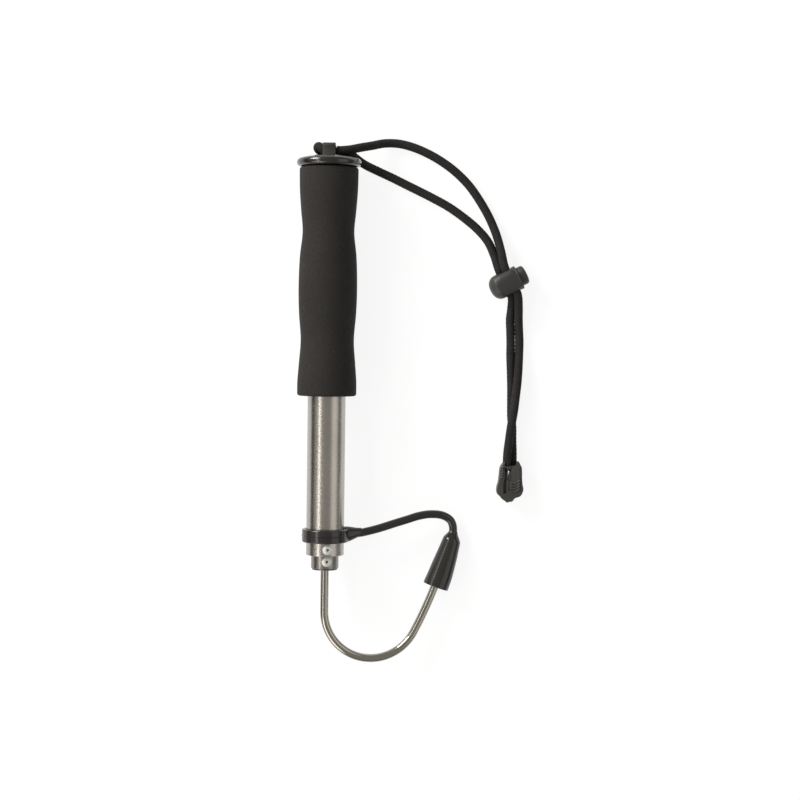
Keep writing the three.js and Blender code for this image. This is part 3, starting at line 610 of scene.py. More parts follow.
def eased(points, radius, steps=4, ends=False):
    """A chain of points with its corners rounded by up to radius."""
    result = []
    last = len(points) - 1
    for i, point in enumerate(points):
        corner = Vector(point)
        before = Vector(points[i - 1]) - corner
        after = Vector(points[(i + 1) % len(points)]) - corner
        if (not ends and i in (0, last)) or min(before.length, after.length) < 1e-9:
            result.append(tuple(point))
            continue
        reach = min(radius, before.length * 0.45, after.length * 0.45)
        start = corner + before.normalized() * reach
        end = corner + after.normalized() * reach
        for k in range(steps + 1):
            t = k / steps
            spot = start * (1 - t) ** 2 + corner * 2 * t * (1 - t) + end * t * t
            result.append(tuple(spot))
    return result


def arc(centre, radius, start, end, steps):
    """Points on an arc, with its angles in degrees."""
    angles = [math.radians(start + (end - start) * i / steps) for i in range(steps + 1)]
    return [(centre[0] + radius * math.cos(a), centre[1] + radius * math.sin(a)) for a in angles]


def smooth_step(share):
    return share * share * (3 - 2 * share)


def turned(profile, sides=96):
    """Points and faces of a piece turned about Y. A profile off the axis closes on itself."""
    points, faces, rings = [], [], []
    for radius, along in profile:
        if radius < 1e-6:
            rings.append([len(points)])
            points.append((0, along, 0))
            continue
        rings.append(list(range(len(points), len(points) + sides)))
        for i in range(sides):
            a = math.tau * i / sides
            points.append((radius * math.cos(a), along, radius * math.sin(a)))
    pairs = list(zip(rings, rings[1:]))
    if len(rings[0]) > 1 and len(rings[-1]) > 1:
        pairs.append((rings[-1], rings[0]))
    for a, b in pairs:
        if len(a) == len(b) == 1:
            continue
        for i in range(sides):
            j = (i + 1) % sides
            if len(a) == 1:
                faces.append((a[0], b[i], b[j]))
            elif len(b) == 1:
                faces.append((a[i], a[j], b[0]))
            else:
                faces.append((a[i], b[i], b[j], a[j]))
    return points, faces


def swept_flat(path, radii, sides=32):
    """Points and faces of a round section swept along a flat path of (x, y) points."""
    points, faces = [], []
    last = len(path) - 1
    for i, (x, y) in enumerate(path):
        ahead = Vector(path[min(i + 1, last)]) - Vector(path[max(i - 1, 0)])
        side = Vector((-ahead.y, ahead.x)).normalized()
        for k in range(sides):
            a = math.tau * k / sides
            reach = radii[i] * math.cos(a)
            points.append((x + side.x * reach, y + side.y * reach, radii[i] * math.sin(a)))
    for i in range(last):
        for k in range(sides):
            j = (k + 1) % sides
            a, b = i * sides, (i + 1) * sides
            faces.append((a + k, a + j, b + j, b + k))
    faces.append(tuple(range(sides)))
    faces.append(tuple(reversed(range(last * sides, len(points)))))
    return points, faces


def extruded(outline, low, high):
    """Points and faces of a flat outline of (x, y) points drawn out along Z."""
    n = len(outline)
    points = [(x, y, z) for z in (low, high) for x, y in outline]
    faces = [tuple(reversed(range(n))), tuple(range(n, 2 * n))]
    faces += [(i, (i + 1) % n, n + (i + 1) % n, n + i) for i in range(n)]
    return points, faces


def block(size, middle):
    """Points and faces of a box about its middle."""
    x, y, z = (s / 2 for s in size)
    outline = [(-x, -y), (x, -y), (x, y), (-x, y)]
    points, faces = extruded(outline, -z, z)
    return [(p[0] + middle[0], p[1] + middle[1], p[2] + middle[2]) for p in points], faces


def baked(obj):
    """The object's mesh with its modifiers applied and taken off."""
    graph = bpy.context.evaluated_depsgraph_get()
    graph.update()
    mesh = bpy.data.meshes.new_from_object(obj.evaluated_get(graph), depsgraph=graph)
    obj.modifiers.clear()
    obj.data = mesh
    mesh.name = obj.name
    return obj


def cut(obj, shape, place=None, operation="DIFFERENCE"):
    """Applies a Boolean with a shape of points and faces."""
    other = mesh_object("cutter", *shape, place=place)
    change = obj.modifiers.new("Boolean", "BOOLEAN")
    change.operation = operation
    change.solver = "EXACT"
    change.object = other
    baked(obj)
    bpy.data.objects.remove(other)


def bevelled(obj, width, segments, angle):
    """Rounds the sharp edges by width, in millimetres."""
    change = obj.modifiers.new("Bevel", "BEVEL")
    change.width = width * MM
    change.segments = segments
    change.limit_method = "ANGLE"
    change.angle_limit = math.radians(angle)
    baked(obj)
    finish_mesh(obj, angle)


def smooth_route(points, per_span=12):
    """Points on the smooth curve through a route, spaced by the square root of each span."""
    route = [np.array(p, float) for p in points]
    route = [2 * route[0] - route[1], *route, 2 * route[-1] - route[-2]]
    result = []
    for p0, p1, p2, p3 in zip(route, route[1:], route[2:], route[3:]):
        d0, d1, d2 = (math.sqrt(np.linalg.norm(b - a)) for a, b in ((p0, p1), (p1, p2), (p2, p3)))
        t1 = ((p1 - p0) / d0 - (p2 - p0) / (d0 + d1) + (p2 - p1) / d1) * d1
        t2 = ((p2 - p1) / d1 - (p3 - p1) / (d1 + d2) + (p3 - p2) / d2) * d1
        for k in range(per_span):
            t = k / per_span
            third = 2 * p1 - 2 * p2 + t1 + t2
            second = -3 * p1 + 3 * p2 - 2 * t1 - t2
            result.append(p1 + t1 * t + second * t * t + third * t * t * t)
    result.append(route[-2])
    return np.array(result)


def flat_route(points, per_span):
    """A smooth curve through flat (x, y) points."""
    return [(p[0], p[1]) for p in smooth_route([(x, y, 0) for x, y in points], per_span)]


def piece(obj, body, slot, *nodes):
    """Rides a finished piece on its body, in place of its nodes; its slot is not used."""
    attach(obj, body)
    if nodes:
        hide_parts(*nodes)
    return obj


# Geometry node trees

def node_object(name, tree, inputs, line):
    """A piece made by a node tree on a line of points, turned into a plain mesh."""
    mesh = bpy.data.meshes.new(name)
    mesh.from_pydata([tuple(p) for p in line], [(i, i + 1) for i in range(len(line) - 1)], [])
    obj = linked_object(name, mesh)
    change = obj.modifiers.new("Nodes", "NODES")
    change.node_group = tree
    for item in tree.interface.items_tree:
        if item.item_type == "SOCKET" and item.in_out == "INPUT" and item.name in inputs:
            change[item.identifier] = inputs[item.name]
    return baked(obj)


def path_curve(tree, line):
    return add_node(tree, "GeometryNodeMeshToCurve", {"Mesh": line}).outputs[0]


def round_tube(tree, curve, section):
    """A closed tube of a section along a curve."""
    inputs = {"Curve": curve, "Profile Curve": section, "Fill Caps": True}
    return add_node(tree, "GeometryNodeCurveToMesh", inputs).outputs[0]


def round_section(tree, resolution, radius):
    inputs = {"Resolution": resolution, "Radius": radius}
    return add_node(tree, "GeometryNodeCurvePrimitiveCircle", inputs).outputs[0]


def stored(tree, geometry, name, value):
    """Geometry with a value kept on its points."""
    kind = "GeometryNodeStoreNamedAttribute"
    inputs = {"Geometry": geometry, "Name": name, "Value": value}
    return add_node(tree, kind, inputs, data_type="FLOAT", domain="POINT").outputs[0]


def close_tree(tree, made, geometry, material):
    """Ends a tree in real geometry with its material."""
    whole = add_node(tree, "GeometryNodeRealizeInstances", {0: geometry}).outputs[0]
    inputs = {"Geometry": whole, "Material": material}
    tree.links.new(add_node(tree, "GeometryNodeSetMaterial", inputs).outputs[0], made[0])
    return tree


def geometry_tree(name, *inputs):
    return new_group(name, "Geometry", [*inputs, ("Material", "Material", None)], [("Geometry", "Geometry")])


def braid_tree():
    """A braided cord along a line: yarns that cross each way, over one and under one."""
    tree, given, made = geometry_tree(
        "Braided cord along a line",
        ("Line", "Geometry", None),
        ("Radius", "Float", 0.0024),
        ("Yarns", "Int", 8),
        ("Rise", "Float", 0.00016),
        ("Step", "Float", 0.0003),
    )

    def calc(operation, *values):
        return math_node(tree, operation, *values)

    inputs = {"Curve": path_curve(tree, given["Line"]), "Length": given["Step"]}
    evened = add_node(tree, "GeometryNodeResampleCurve", inputs, mode="LENGTH").outputs[0]
    travel = add_node(tree, "GeometryNodeSplineParameter").outputs
    path = stored(tree, evened, "along", travel["Length"])
    section = stored(tree, round_section(tree, 48, given["Radius"]), "around", travel["Factor"])
    tube = round_tube(tree, path, section)
    kind = "GeometryNodeInputNamedAttribute"
    along, around = (add_node(tree, kind, {"Name": name}).outputs[0] for name in ("along", "around"))
    turn = calc("DIVIDE", along, calc("MULTIPLY", given["Radius"], math.tau * 1.15))
    yarns = [calc("MULTIPLY", calc(way, around, turn), given["Yarns"]) for way in ("ADD", "SUBTRACT")]
    parity = calc("FLOORED_MODULO", calc("ADD", *[calc("FLOOR", yarn) for yarn in yarns]), 2.0)
    crowns = [calc("SINE", calc("MULTIPLY", calc("FRACT", yarn), math.pi)) for yarn in yarns]
    over = [
        calc("MULTIPLY", calc("SQRT", crown), calc("ADD", calc("MULTIPLY", other, 0.5), 0.5))
        for crown, other in zip(crowns, reversed(crowns))
    ]
    left = calc("MULTIPLY", over[0], parity)
    right = calc("MULTIPLY", over[1], calc("SUBTRACT", 1.0, parity))
    height = calc("ADD", left, right)
    lift = calc("MULTIPLY", calc("SUBTRACT", height, 0.75), given["Rise"])
    normal = add_node(tree, "GeometryNodeInputNormal").outputs[0]
    offset = add_node(tree, "ShaderNodeVectorMath", {0: normal, "Scale": lift}, operation="SCALE")
    inputs = {"Geometry": tube, "Offset": offset.outputs[0]}
    raised = add_node(tree, "GeometryNodeSetPosition", inputs).outputs[0]
    # keeps each point's yarn height, from which the cord's material paints shade in the hollows and
    # highlight on the crowns
    return close_tree(tree, made, stored(tree, raised, "yarn", height), given["Material"])


def coil_tree():
    """A wound spring about Z."""
    tree, given, made = geometry_tree(
        "Wound spring",
        ("Geometry", "Geometry", None),
        ("Turns", "Float", 2.5),
        ("Radius", "Float", 0.0025),
        ("Height", "Float", 0.0024),
        ("Wire", "Float", 0.0005),
    )
    inputs = {"Resolution": 40, "Rotations": given["Turns"], "Height": given["Height"]}
    inputs |= {"Start Radius": given["Radius"], "End Radius": given["Radius"]}
    coil = add_node(tree, "GeometryNodeCurveSpiral", inputs).outputs[0]
    section = round_section(tree, 12, math_node(tree, "MULTIPLY", given["Wire"], 0.5))
    return close_tree(tree, made, round_tube(tree, coil, section), given["Material"])


def rib_tree():
    """A row of round ribs, each a copy of the line, moved on by one pitch."""
    tree, given, made = geometry_tree(
        "Row of ribs",
        ("Line", "Geometry", None),
        ("Count", "Int", 4),
        ("Pitch", "Vector", (0.0, -0.002, 0.0)),
        ("Radius", "Float", 0.0004),
    )
    section = round_section(tree, 12, given["Radius"])
    rib = round_tube(tree, path_curve(tree, given["Line"]), section)
    inputs = {"Count": given["Count"], "Offset": given["Pitch"]}
    spots = add_node(tree, "GeometryNodeMeshLine", inputs, mode="OFFSET").outputs[0]
    copies = add_node(tree, "GeometryNodeInstanceOnPoints", {"Points": spots, "Instance": rib})
    return close_tree(tree, made, copies.outputs[0], given["Material"])


# Shapes that more than one piece follows

def hook_line():
    """The hook's centreline in its plane, in millimetres, from inside the plug to the arm's end."""
    line = [(0, PLUG_END_Y + 18 - i * 2.0) for i in range(int((18 + HOOK_SHANK) / 2))]
    line.append((0, BEND_CENTRE_Y))
    end = 180 + math.degrees(HOOK_BEND_SWEEP)
    line += arc((HOOK_BEND, BEND_CENTRE_Y), HOOK_BEND, 180, end, 72)[1:]
    last = Vector(line[-1])
    inward = (Vector((HOOK_BEND, BEND_CENTRE_Y)) - last).normalized()
    centre = last + inward * HOOK_ARM_BEND
    start = math.degrees(math.atan2(last.y - centre.y, last.x - centre.x))
    line += arc(centre, HOOK_ARM_BEND, start, start + math.degrees(HOOK_ARM_SWEEP), 14)[1:]
    return line


def guard_frame():
    """The arm's end, the guard's direction and its mouth, all in the hook's plane."""
    end = Vector(hook_line()[-1])
    heading = Vector((math.sin(GUARD_LEAN), math.cos(GUARD_LEAN)))
    return end, heading, end - heading * GUARD_BACK


def in_hook_plane(spot):
    return HOOK @ Vector((spot[0] * MM, spot[1] * MM, 0))


def boss_line():
    """Where the strap's boss starts on the ring, where it ends, and its direction."""
    start = Vector((TUBE_RADIUS + 0.9, RING_Y))
    end = Vector((19.2, RING_Y + 1.1))
    return start, end, (end - start).normalized()


class BuildOperator(bpy.types.Operator):
    """Shared settings of the operators that build the gaff."""

    bl_options = {"REGISTER", "UNDO"}

    def build(self):
        raise NotImplementedError

    def execute(self, context):
        self.build()
        return {"FINISHED"}


class GAFF_OT_stage(BuildOperator):
    """Sets the camera, the lamps and the pale surface"""

    bl_idname = "gaff.stage"
    bl_label = "Stage and camera"

    def build(self):
        scene = bpy.context.scene
        scene.view_settings.view_transform = "Standard"
        self.camera(scene)
        self.floor()
        strip = self.lamp("Strip lamp", (-0.59, 0.0, 0.72), (0.11, 1.0), 1.6)
        strip.rotation_euler = Matrix(STRIP_TURN).to_euler()
        self.lamp("Left lamp", (-0.85, 0.85, 0.55), (0.5, 0.5), 16.0)
        self.lamp("Front lamp", (-0.75, -0.95, 0.6), (1.0, 1.0), 7.5)
        upright = (0, math.pi / 2, 0)
        self.card("Right card", (0.72, 0.0, 0.55), (0.6, 1.2), 1.05)
        self.card("Left shade", (-0.18, 0.0, 0.035), (0.07, 0.6), 0.01, upright)
        self.card("Right shade", (0.17, -0.02, 0.02), (0.04, 0.5), 0.12, upright)
        self.card("Front shade", (0.02, -0.3, 0.03), (0.4, 0.06), 0.03, (math.pi / 2, 0, 0))
        world = bpy.data.worlds.new("World")
        world.use_nodes = True
        sky = world.node_tree.nodes["Background"].inputs
        sky["Color"].default_value = (1.0, 0.99, 0.97, 1)
        sky["Strength"].default_value = 0.36
        scene.world = world

    def camera(self, scene):
        """A camera at the photograph's viewing angle, rolled with the gaff's tilt in it."""
        data = bpy.data.cameras.new("Camera")
        data.lens = CAMERA_LENS
        data.sensor_width = 36.0
        camera = linked_object("Camera", data)
        camera.location = Vector(CAMERA_PLACE)
        back = (camera.location - Vector(CAMERA_TARGET)).normalized()
        right = Vector(CAMERA_UP).cross(back).normalized()
        turn = Matrix((right, back.cross(right), back)).transposed()
        camera.rotation_euler = turn.to_euler()
        scene.camera = camera

    def floor(self):
        """A pale surface that looks white and keeps the gaff's shadow."""
        outline = [(-3000, -3000), (3000, -3000), (3000, 3000), (-3000, 3000)]
        mesh = raw_mesh("Surface", *extruded(outline, -20, 0))
        floor = linked_object("Surface", mesh)
        made = Finish("Surface white", tuple(finishes().floor_white), 0.9)
        tree = made.tree
        path = add_node(tree, "ShaderNodeLightPath").outputs
        mirrored = math_node(tree, "MAXIMUM", path["Is Glossy Ray"], path["Is Transmission Ray"])
        seen = math_node(tree, "MAXIMUM", path["Is Camera Ray"], mirrored)
        share = math_node(tree, "MULTIPLY", seen, 0.8)
        white = add_node(tree, "ShaderNodeEmission", {"Color": (1, 1, 1, 1), "Strength": 1.1})
        inputs = {0: share, 1: made.shader.outputs[0], 2: white.outputs[0]}
        mix = add_node(tree, "ShaderNodeMixShader", inputs)
        tree.links.new(mix.outputs[0], tree.nodes["Material Output"].inputs["Surface"])
        mesh.materials.append(made.material)

    def lamp(self, name, place, size, power):
        """A soft lamp that faces the tubes."""
        data = bpy.data.lights.new(name, "AREA")
        data.shape = "RECTANGLE"
        data.size, data.size_y = size
        data.energy = power
        data.color = (1.0, 0.985, 0.96)
        lamp = linked_object(name, data)
        lamp.location = Vector(place)
        direction = Vector((AXIS_X, 0.0, AXIS_Z)) - lamp.location
        lamp.rotation_euler = direction.to_track_quat("-Z", "Y").to_euler()
        return lamp

    def card(self, name, place, size, strength, turn=None):
        """A card that only reflections show, turned to the tubes if no turn is named."""
        x, y = (s / 2 for s in size)
        mesh = bpy.data.meshes.new(name)
        mesh.from_pydata([(-x, -y, 0), (x, -y, 0), (x, y, 0), (-x, y, 0)], [], [(0, 1, 2, 3)])
        card = linked_object(name, mesh)
        material = bpy.data.materials.new(name)
        material.use_nodes = True
        tree = material.node_tree
        inputs = {"Color": (1, 0.99, 0.97, 1), "Strength": strength}
        glow = add_node(tree, "ShaderNodeEmission", inputs)
        tree.links.new(glow.outputs[0], tree.nodes["Material Output"].inputs["Surface"])
        mesh.materials.append(material)
        card.location = Vector(place)
        card.rotation_euler = turn or (0, math.atan2(place[0] - AXIS_X, place[2]), 0)
        card.visible_camera = False
        card.visible_diffuse = False
        card.visible_shadow = False


# The two strands with their lines
STRANDS = []


class GAFF_OT_cords(BuildOperator):
    """Builds the braided cord: its turn in the lug and its two strands"""

    bl_idname = "gaff.cords"
    bl_label = "Lanyard cord"

    def build(self):
        tree = braid_tree()
        STRANDS.clear()
        for name, route in (("upper_strand", UPPER_ROUTE), ("lower_strand", LOWER_ROUTE)):
            line = smooth_route(route) * MM
            strand = self.braided(tree, f"{name}_braid", line)
            STRANDS.append((piece(strand, "handle", "cord", name), line))
        bight = self.braided(tree, "lug_turn_braid", self.turn_in_lug())
        piece(bight, "handle", "cord", "lanyard_bight")

    def braided(self, tree, name, line):
        """A braided cord along a line of points in metres."""
        size = sizes()
        inputs = {
            "Radius": BRAID_RADIUS * MM,
            "Yarns": size.braid_yarns,
            "Rise": size.braid_rise,
            "Step": size.braid_step,
            "Material": MATERIALS["cord"],
        }
        obj = node_object(name, tree, inputs, line)
        finish_mesh(obj, 60.0)
        return obj

    def turn_in_lug(self):
        """In through the lug on top, round its left side, and out below."""
        run = LUG_WIDTH / 2 + 0.3
        drop = CORD_RADIUS * 2 + LUG_STRIP + 1.2
        spots = [(run, 0, 0), (0, 0, 0)]
        for i in range(9):
            a = math.pi * i / 8
            out = math.sin(a)
            left = 0.7 - run - out * drop / 2
            rise = out * (1.8 + 1.9 * math.cos(a))
            spots.append((left, rise, (math.cos(a) - 1) * drop / 2))
        spots += [(0, 0, -drop), (run, 0, -drop)]
        height = CAP_TOP_Y + LUG_TURN_RISE
        line = smooth_route([(x, y + height, z) for x, y, z in spots])
        return [AXIS @ Vector(spot * MM) for spot in line]


class GAFF_OT_cap(BuildOperator):
    """Builds the end cap and its strip lug"""

    bl_idname = "gaff.cap"
    bl_label = "End cap and lug"

    def build(self):
        self.cap()
        self.lug()

    def cap(self):
        """A flat middle, a dome, a rolled rim and the spigot, with slots for the lug's legs."""
        seat, top = CAP_SEAT_Y, CAP_TOP_Y
        half = CAP_RIM_HEIGHT / 2
        middle = seat + half
        shoulder = CAP_RADIUS - CAP_EDGE
        profile = [(CAP_FLAT * s, top) for s in (0, 0.5, 0.9, 1)]
        for i in range(1, 15):
            share = i / 14
            radius = CAP_FLAT + (shoulder - CAP_FLAT) * share
            profile.append((radius, top - (top - middle - half) * share * share))
        for i in range(1, 29):
            a = math.pi / 2 - math.pi * i / 28
            profile.append((shoulder + CAP_EDGE * math.cos(a), middle + half * math.sin(a)))
        outer, inner, deep = CAP_SPIGOT
        inside = [(shoulder, seat), (outer, seat), (outer, seat - deep), (inner, seat - deep)]
        inside += [(inner, CAP_HOLLOW_Y), (0, CAP_HOLLOW_Y)]
        profile += eased(inside, 0.25)[1:]
        cap = mesh_object("cap_dome", *turned(profile, 144), "cap", place=AXIS)
        for side in (-1, 1):
            size = (LUG_WIDTH + 0.5, 12.0, LUG_STRIP + 0.5)
            cut(cap, block(size, (0, top - 2.2, side * (LUG_EYE + LUG_STRIP) / 2)), AXIS)
        finish_mesh(cap, 32.0)
        piece(cap, "handle", "cap_metal", "end_cap")

    def lug(self):
        """A strip bent over its eye, its feet turned out inside the cap."""
        inner = LUG_EYE / 2
        outer = inner + LUG_STRIP
        foot, low = LUG_FOOT_Y, LUG_FOOT_Y - LUG_STRIP
        reach = outer + 1.5
        bend = outer - LUG_CORNER
        height = CAP_TOP_Y + LUG_RISE - LUG_CORNER
        outline = [(inner, low), (reach, low), (reach, foot), (outer, foot)]
        outline += arc((bend, height), LUG_CORNER, 0, 90, 12)
        outline += arc((-bend, height), LUG_CORNER, 90, 180, 12)
        outline += [(-outer, foot), (-reach, foot), (-reach, low), (-inner, low)]
        outline += arc((-bend, height), LUG_CORNER - LUG_STRIP, 180, 90, 8)
        outline += arc((bend, height), LUG_CORNER - LUG_STRIP, 90, 0, 8)
        shape = extruded(outline, -LUG_WIDTH / 2, LUG_WIDTH / 2)
        place = AXIS @ Matrix.Rotation(math.pi / 2, 4, "Y")
        lug = mesh_object("lug_strip", *shape, "lug", place=place, angle=25)
        bevelled(lug, 0.28, 3, 40)
        piece(lug, "handle", "lug_metal", "lanyard_lug")


class GAFF_OT_grip(BuildOperator):
    """Builds the contoured foam grip"""

    bl_idname = "gaff.grip"
    bl_label = "Foam grip"

    def build(self):
        top, bottom, edge = TUBE_TOP_Y, TUBE_TOP_Y - GRIP_LENGTH, GRIP_EDGE
        knots = [(wide * GRIP_RADIUS, top - share * GRIP_LENGTH) for share, wide in GRIP_SHARES]
        bore = TUBE_RADIUS + 0.3
        outside = [p for p in flat_route(knots, 16) if bottom + edge < p[1] < top - edge]
        profile = [(bore, top), (bore + 0.5, top)]
        profile += arc((outside[0][0] - edge, top - edge), edge, 90, 8, 8)
        profile += outside
        profile += arc((outside[-1][0] - edge, bottom + edge), edge, -8, -90, 8)
        profile += [(bore + 0.5, bottom), (bore, bottom)]
        grip = mesh_object("grip_sleeve", *turned(profile, 128), "foam", place=AXIS, angle=50)
        piece(grip, "handle", "foam", "foam_grip")


class GAFF_OT_tubes(BuildOperator):
    """Builds the two steel tubes and the plug in the inner one"""

    bl_idname = "gaff.tubes"
    bl_label = "Tubes and plug"

    def build(self):
        outer = self.tube(TUBE_RADIUS, MOUTH_Y, TUBE_TOP_Y)
        tube = mesh_object("outer_tube_shell", *turned(outer, 128), "tube", place=AXIS)
        piece(tube, "handle", "tube_steel", "outer_tube")
        inner = self.tube(INNER_RADIUS, INNER_END_Y, INNER_TOP_Y)
        tube = mesh_object("inner_tube_shell", *turned(inner, 112), "inner", place=AXIS)
        piece(tube, "inner_section", "inner_steel", "inner_tube")
        bore, lip, body = ROD_RADIUS + ROD_ROOM, INNER_RADIUS - 0.6, INNER_RADIUS - TUBE_WALL - 0.3
        end, deep = PLUG_END_Y, PLUG_END_Y + PLUG_DEPTH
        corners = [(bore, deep), (bore, end), (lip, end), (lip, end + 0.6), (body, end + 0.6), (body, deep)]
        profile = eased(corners, 0.22, 4, ends=True)
        plug = mesh_object("hook_plug", *turned(profile, 96), "plug", place=AXIS)
        piece(plug, "inner_section", "inner_steel", "shank_plug")

    def tube(self, radius, low, high):
        """A tube's profile, its edges broken as after sawing and tumbling."""
        bore = radius - TUBE_WALL
        return eased([(bore, low), (radius, low), (radius, high), (bore, high)], SAWN_EDGE, 4, ends=True)


class GAFF_OT_rivets(BuildOperator):
    """Builds the two blind rivets"""

    bl_idname = "gaff.rivets"
    bl_label = "Blind rivets"

    def build(self):
        self.rivet("mouth_rivet_head", TUBE_RADIUS, 2.2, MOUTH_Y + 4, "handle", "mouth_rivet")
        hook_y = MOUTH_Y - RIVET_RADIUS - 0.3
        self.rivet("hook_rivet_head", INNER_RADIUS, 7.3, hook_y, "inner_section", "hook_rivet")

    def rivet(self, name, radius, reach, along, body, node):
        """A domed head with a rolled rim, a shank, and the hole that the mandrel leaves, its inside painted
        near-black as shade.
        """
        seat = radius + RIVET_SEAT
        rim = RIVET_RADIUS - 0.4
        hole = RIVET_HOLE
        crown = radius + RIVET_CROWN
        profile = [(0, radius - reach), (1.3, radius - reach), (1.3, seat - 0.25)]
        profile += [(RIVET_RADIUS - 0.12, seat - 0.25)]
        profile += arc((RIVET_RADIUS - 0.3, seat + 0.12), 0.3, -60, 80, 6)
        for i in range(1, 11):
            share = i / 10
            rise = (crown - seat - 0.4) * math.sin(share * math.pi / 2)
            profile.append((rim - (rim - hole - 0.3) * share, seat + 0.4 + rise))
        profile += arc((hole + 0.22, crown - 0.22), 0.22, 90, 180, 5)
        profile += [(hole, crown - 2.0), (hole - 0.12, crown - 2.1), (0, crown - 2.1)]
        turn = Matrix.Rotation(RIVET_TURN, 4, "Y") @ Matrix.Rotation(math.pi / 2, 4, "X")
        place = AXIS @ Matrix.Translation((0, along * MM, 0)) @ turn
        head = mesh_object(name, *turned(profile, 48), "rivet", "bore", place=place, angle=40)
        back = place.inverted()
        # faces inside the hole take the near-black finish, painted shade in the recess
        for polygon in head.data.polygons:
            spot = back @ polygon.center / MM
            if math.hypot(spot.x, spot.z) < hole + 0.02 and spot.y > radius - 1.5:
                polygon.material_index = 1
        piece(head, body, "rivet_steel", node)


class GAFF_OT_hook(BuildOperator):
    """Builds the hook with its ground point"""

    bl_idname = "gaff.hook"
    bl_label = "Hook"

    def build(self):
        line = hook_line()
        end, heading, _ = guard_frame()
        straight = HOOK_POINT - HOOK_TAPER
        line += [tuple(end + heading * straight)]
        radii = [ROD_RADIUS] * len(line)
        for i in range(1, 25):
            share = i / 24
            line.append(tuple(end + heading * (straight + HOOK_TAPER * share)))
            radii.append(max(0.1, ROD_RADIUS * (1 - share ** 1.12)))
        hook = mesh_object("hook_rod", *swept_flat(line, radii, 36), "hook", place=HOOK, angle=50)
        piece(hook, "inner_section", "hook_steel", "hook")


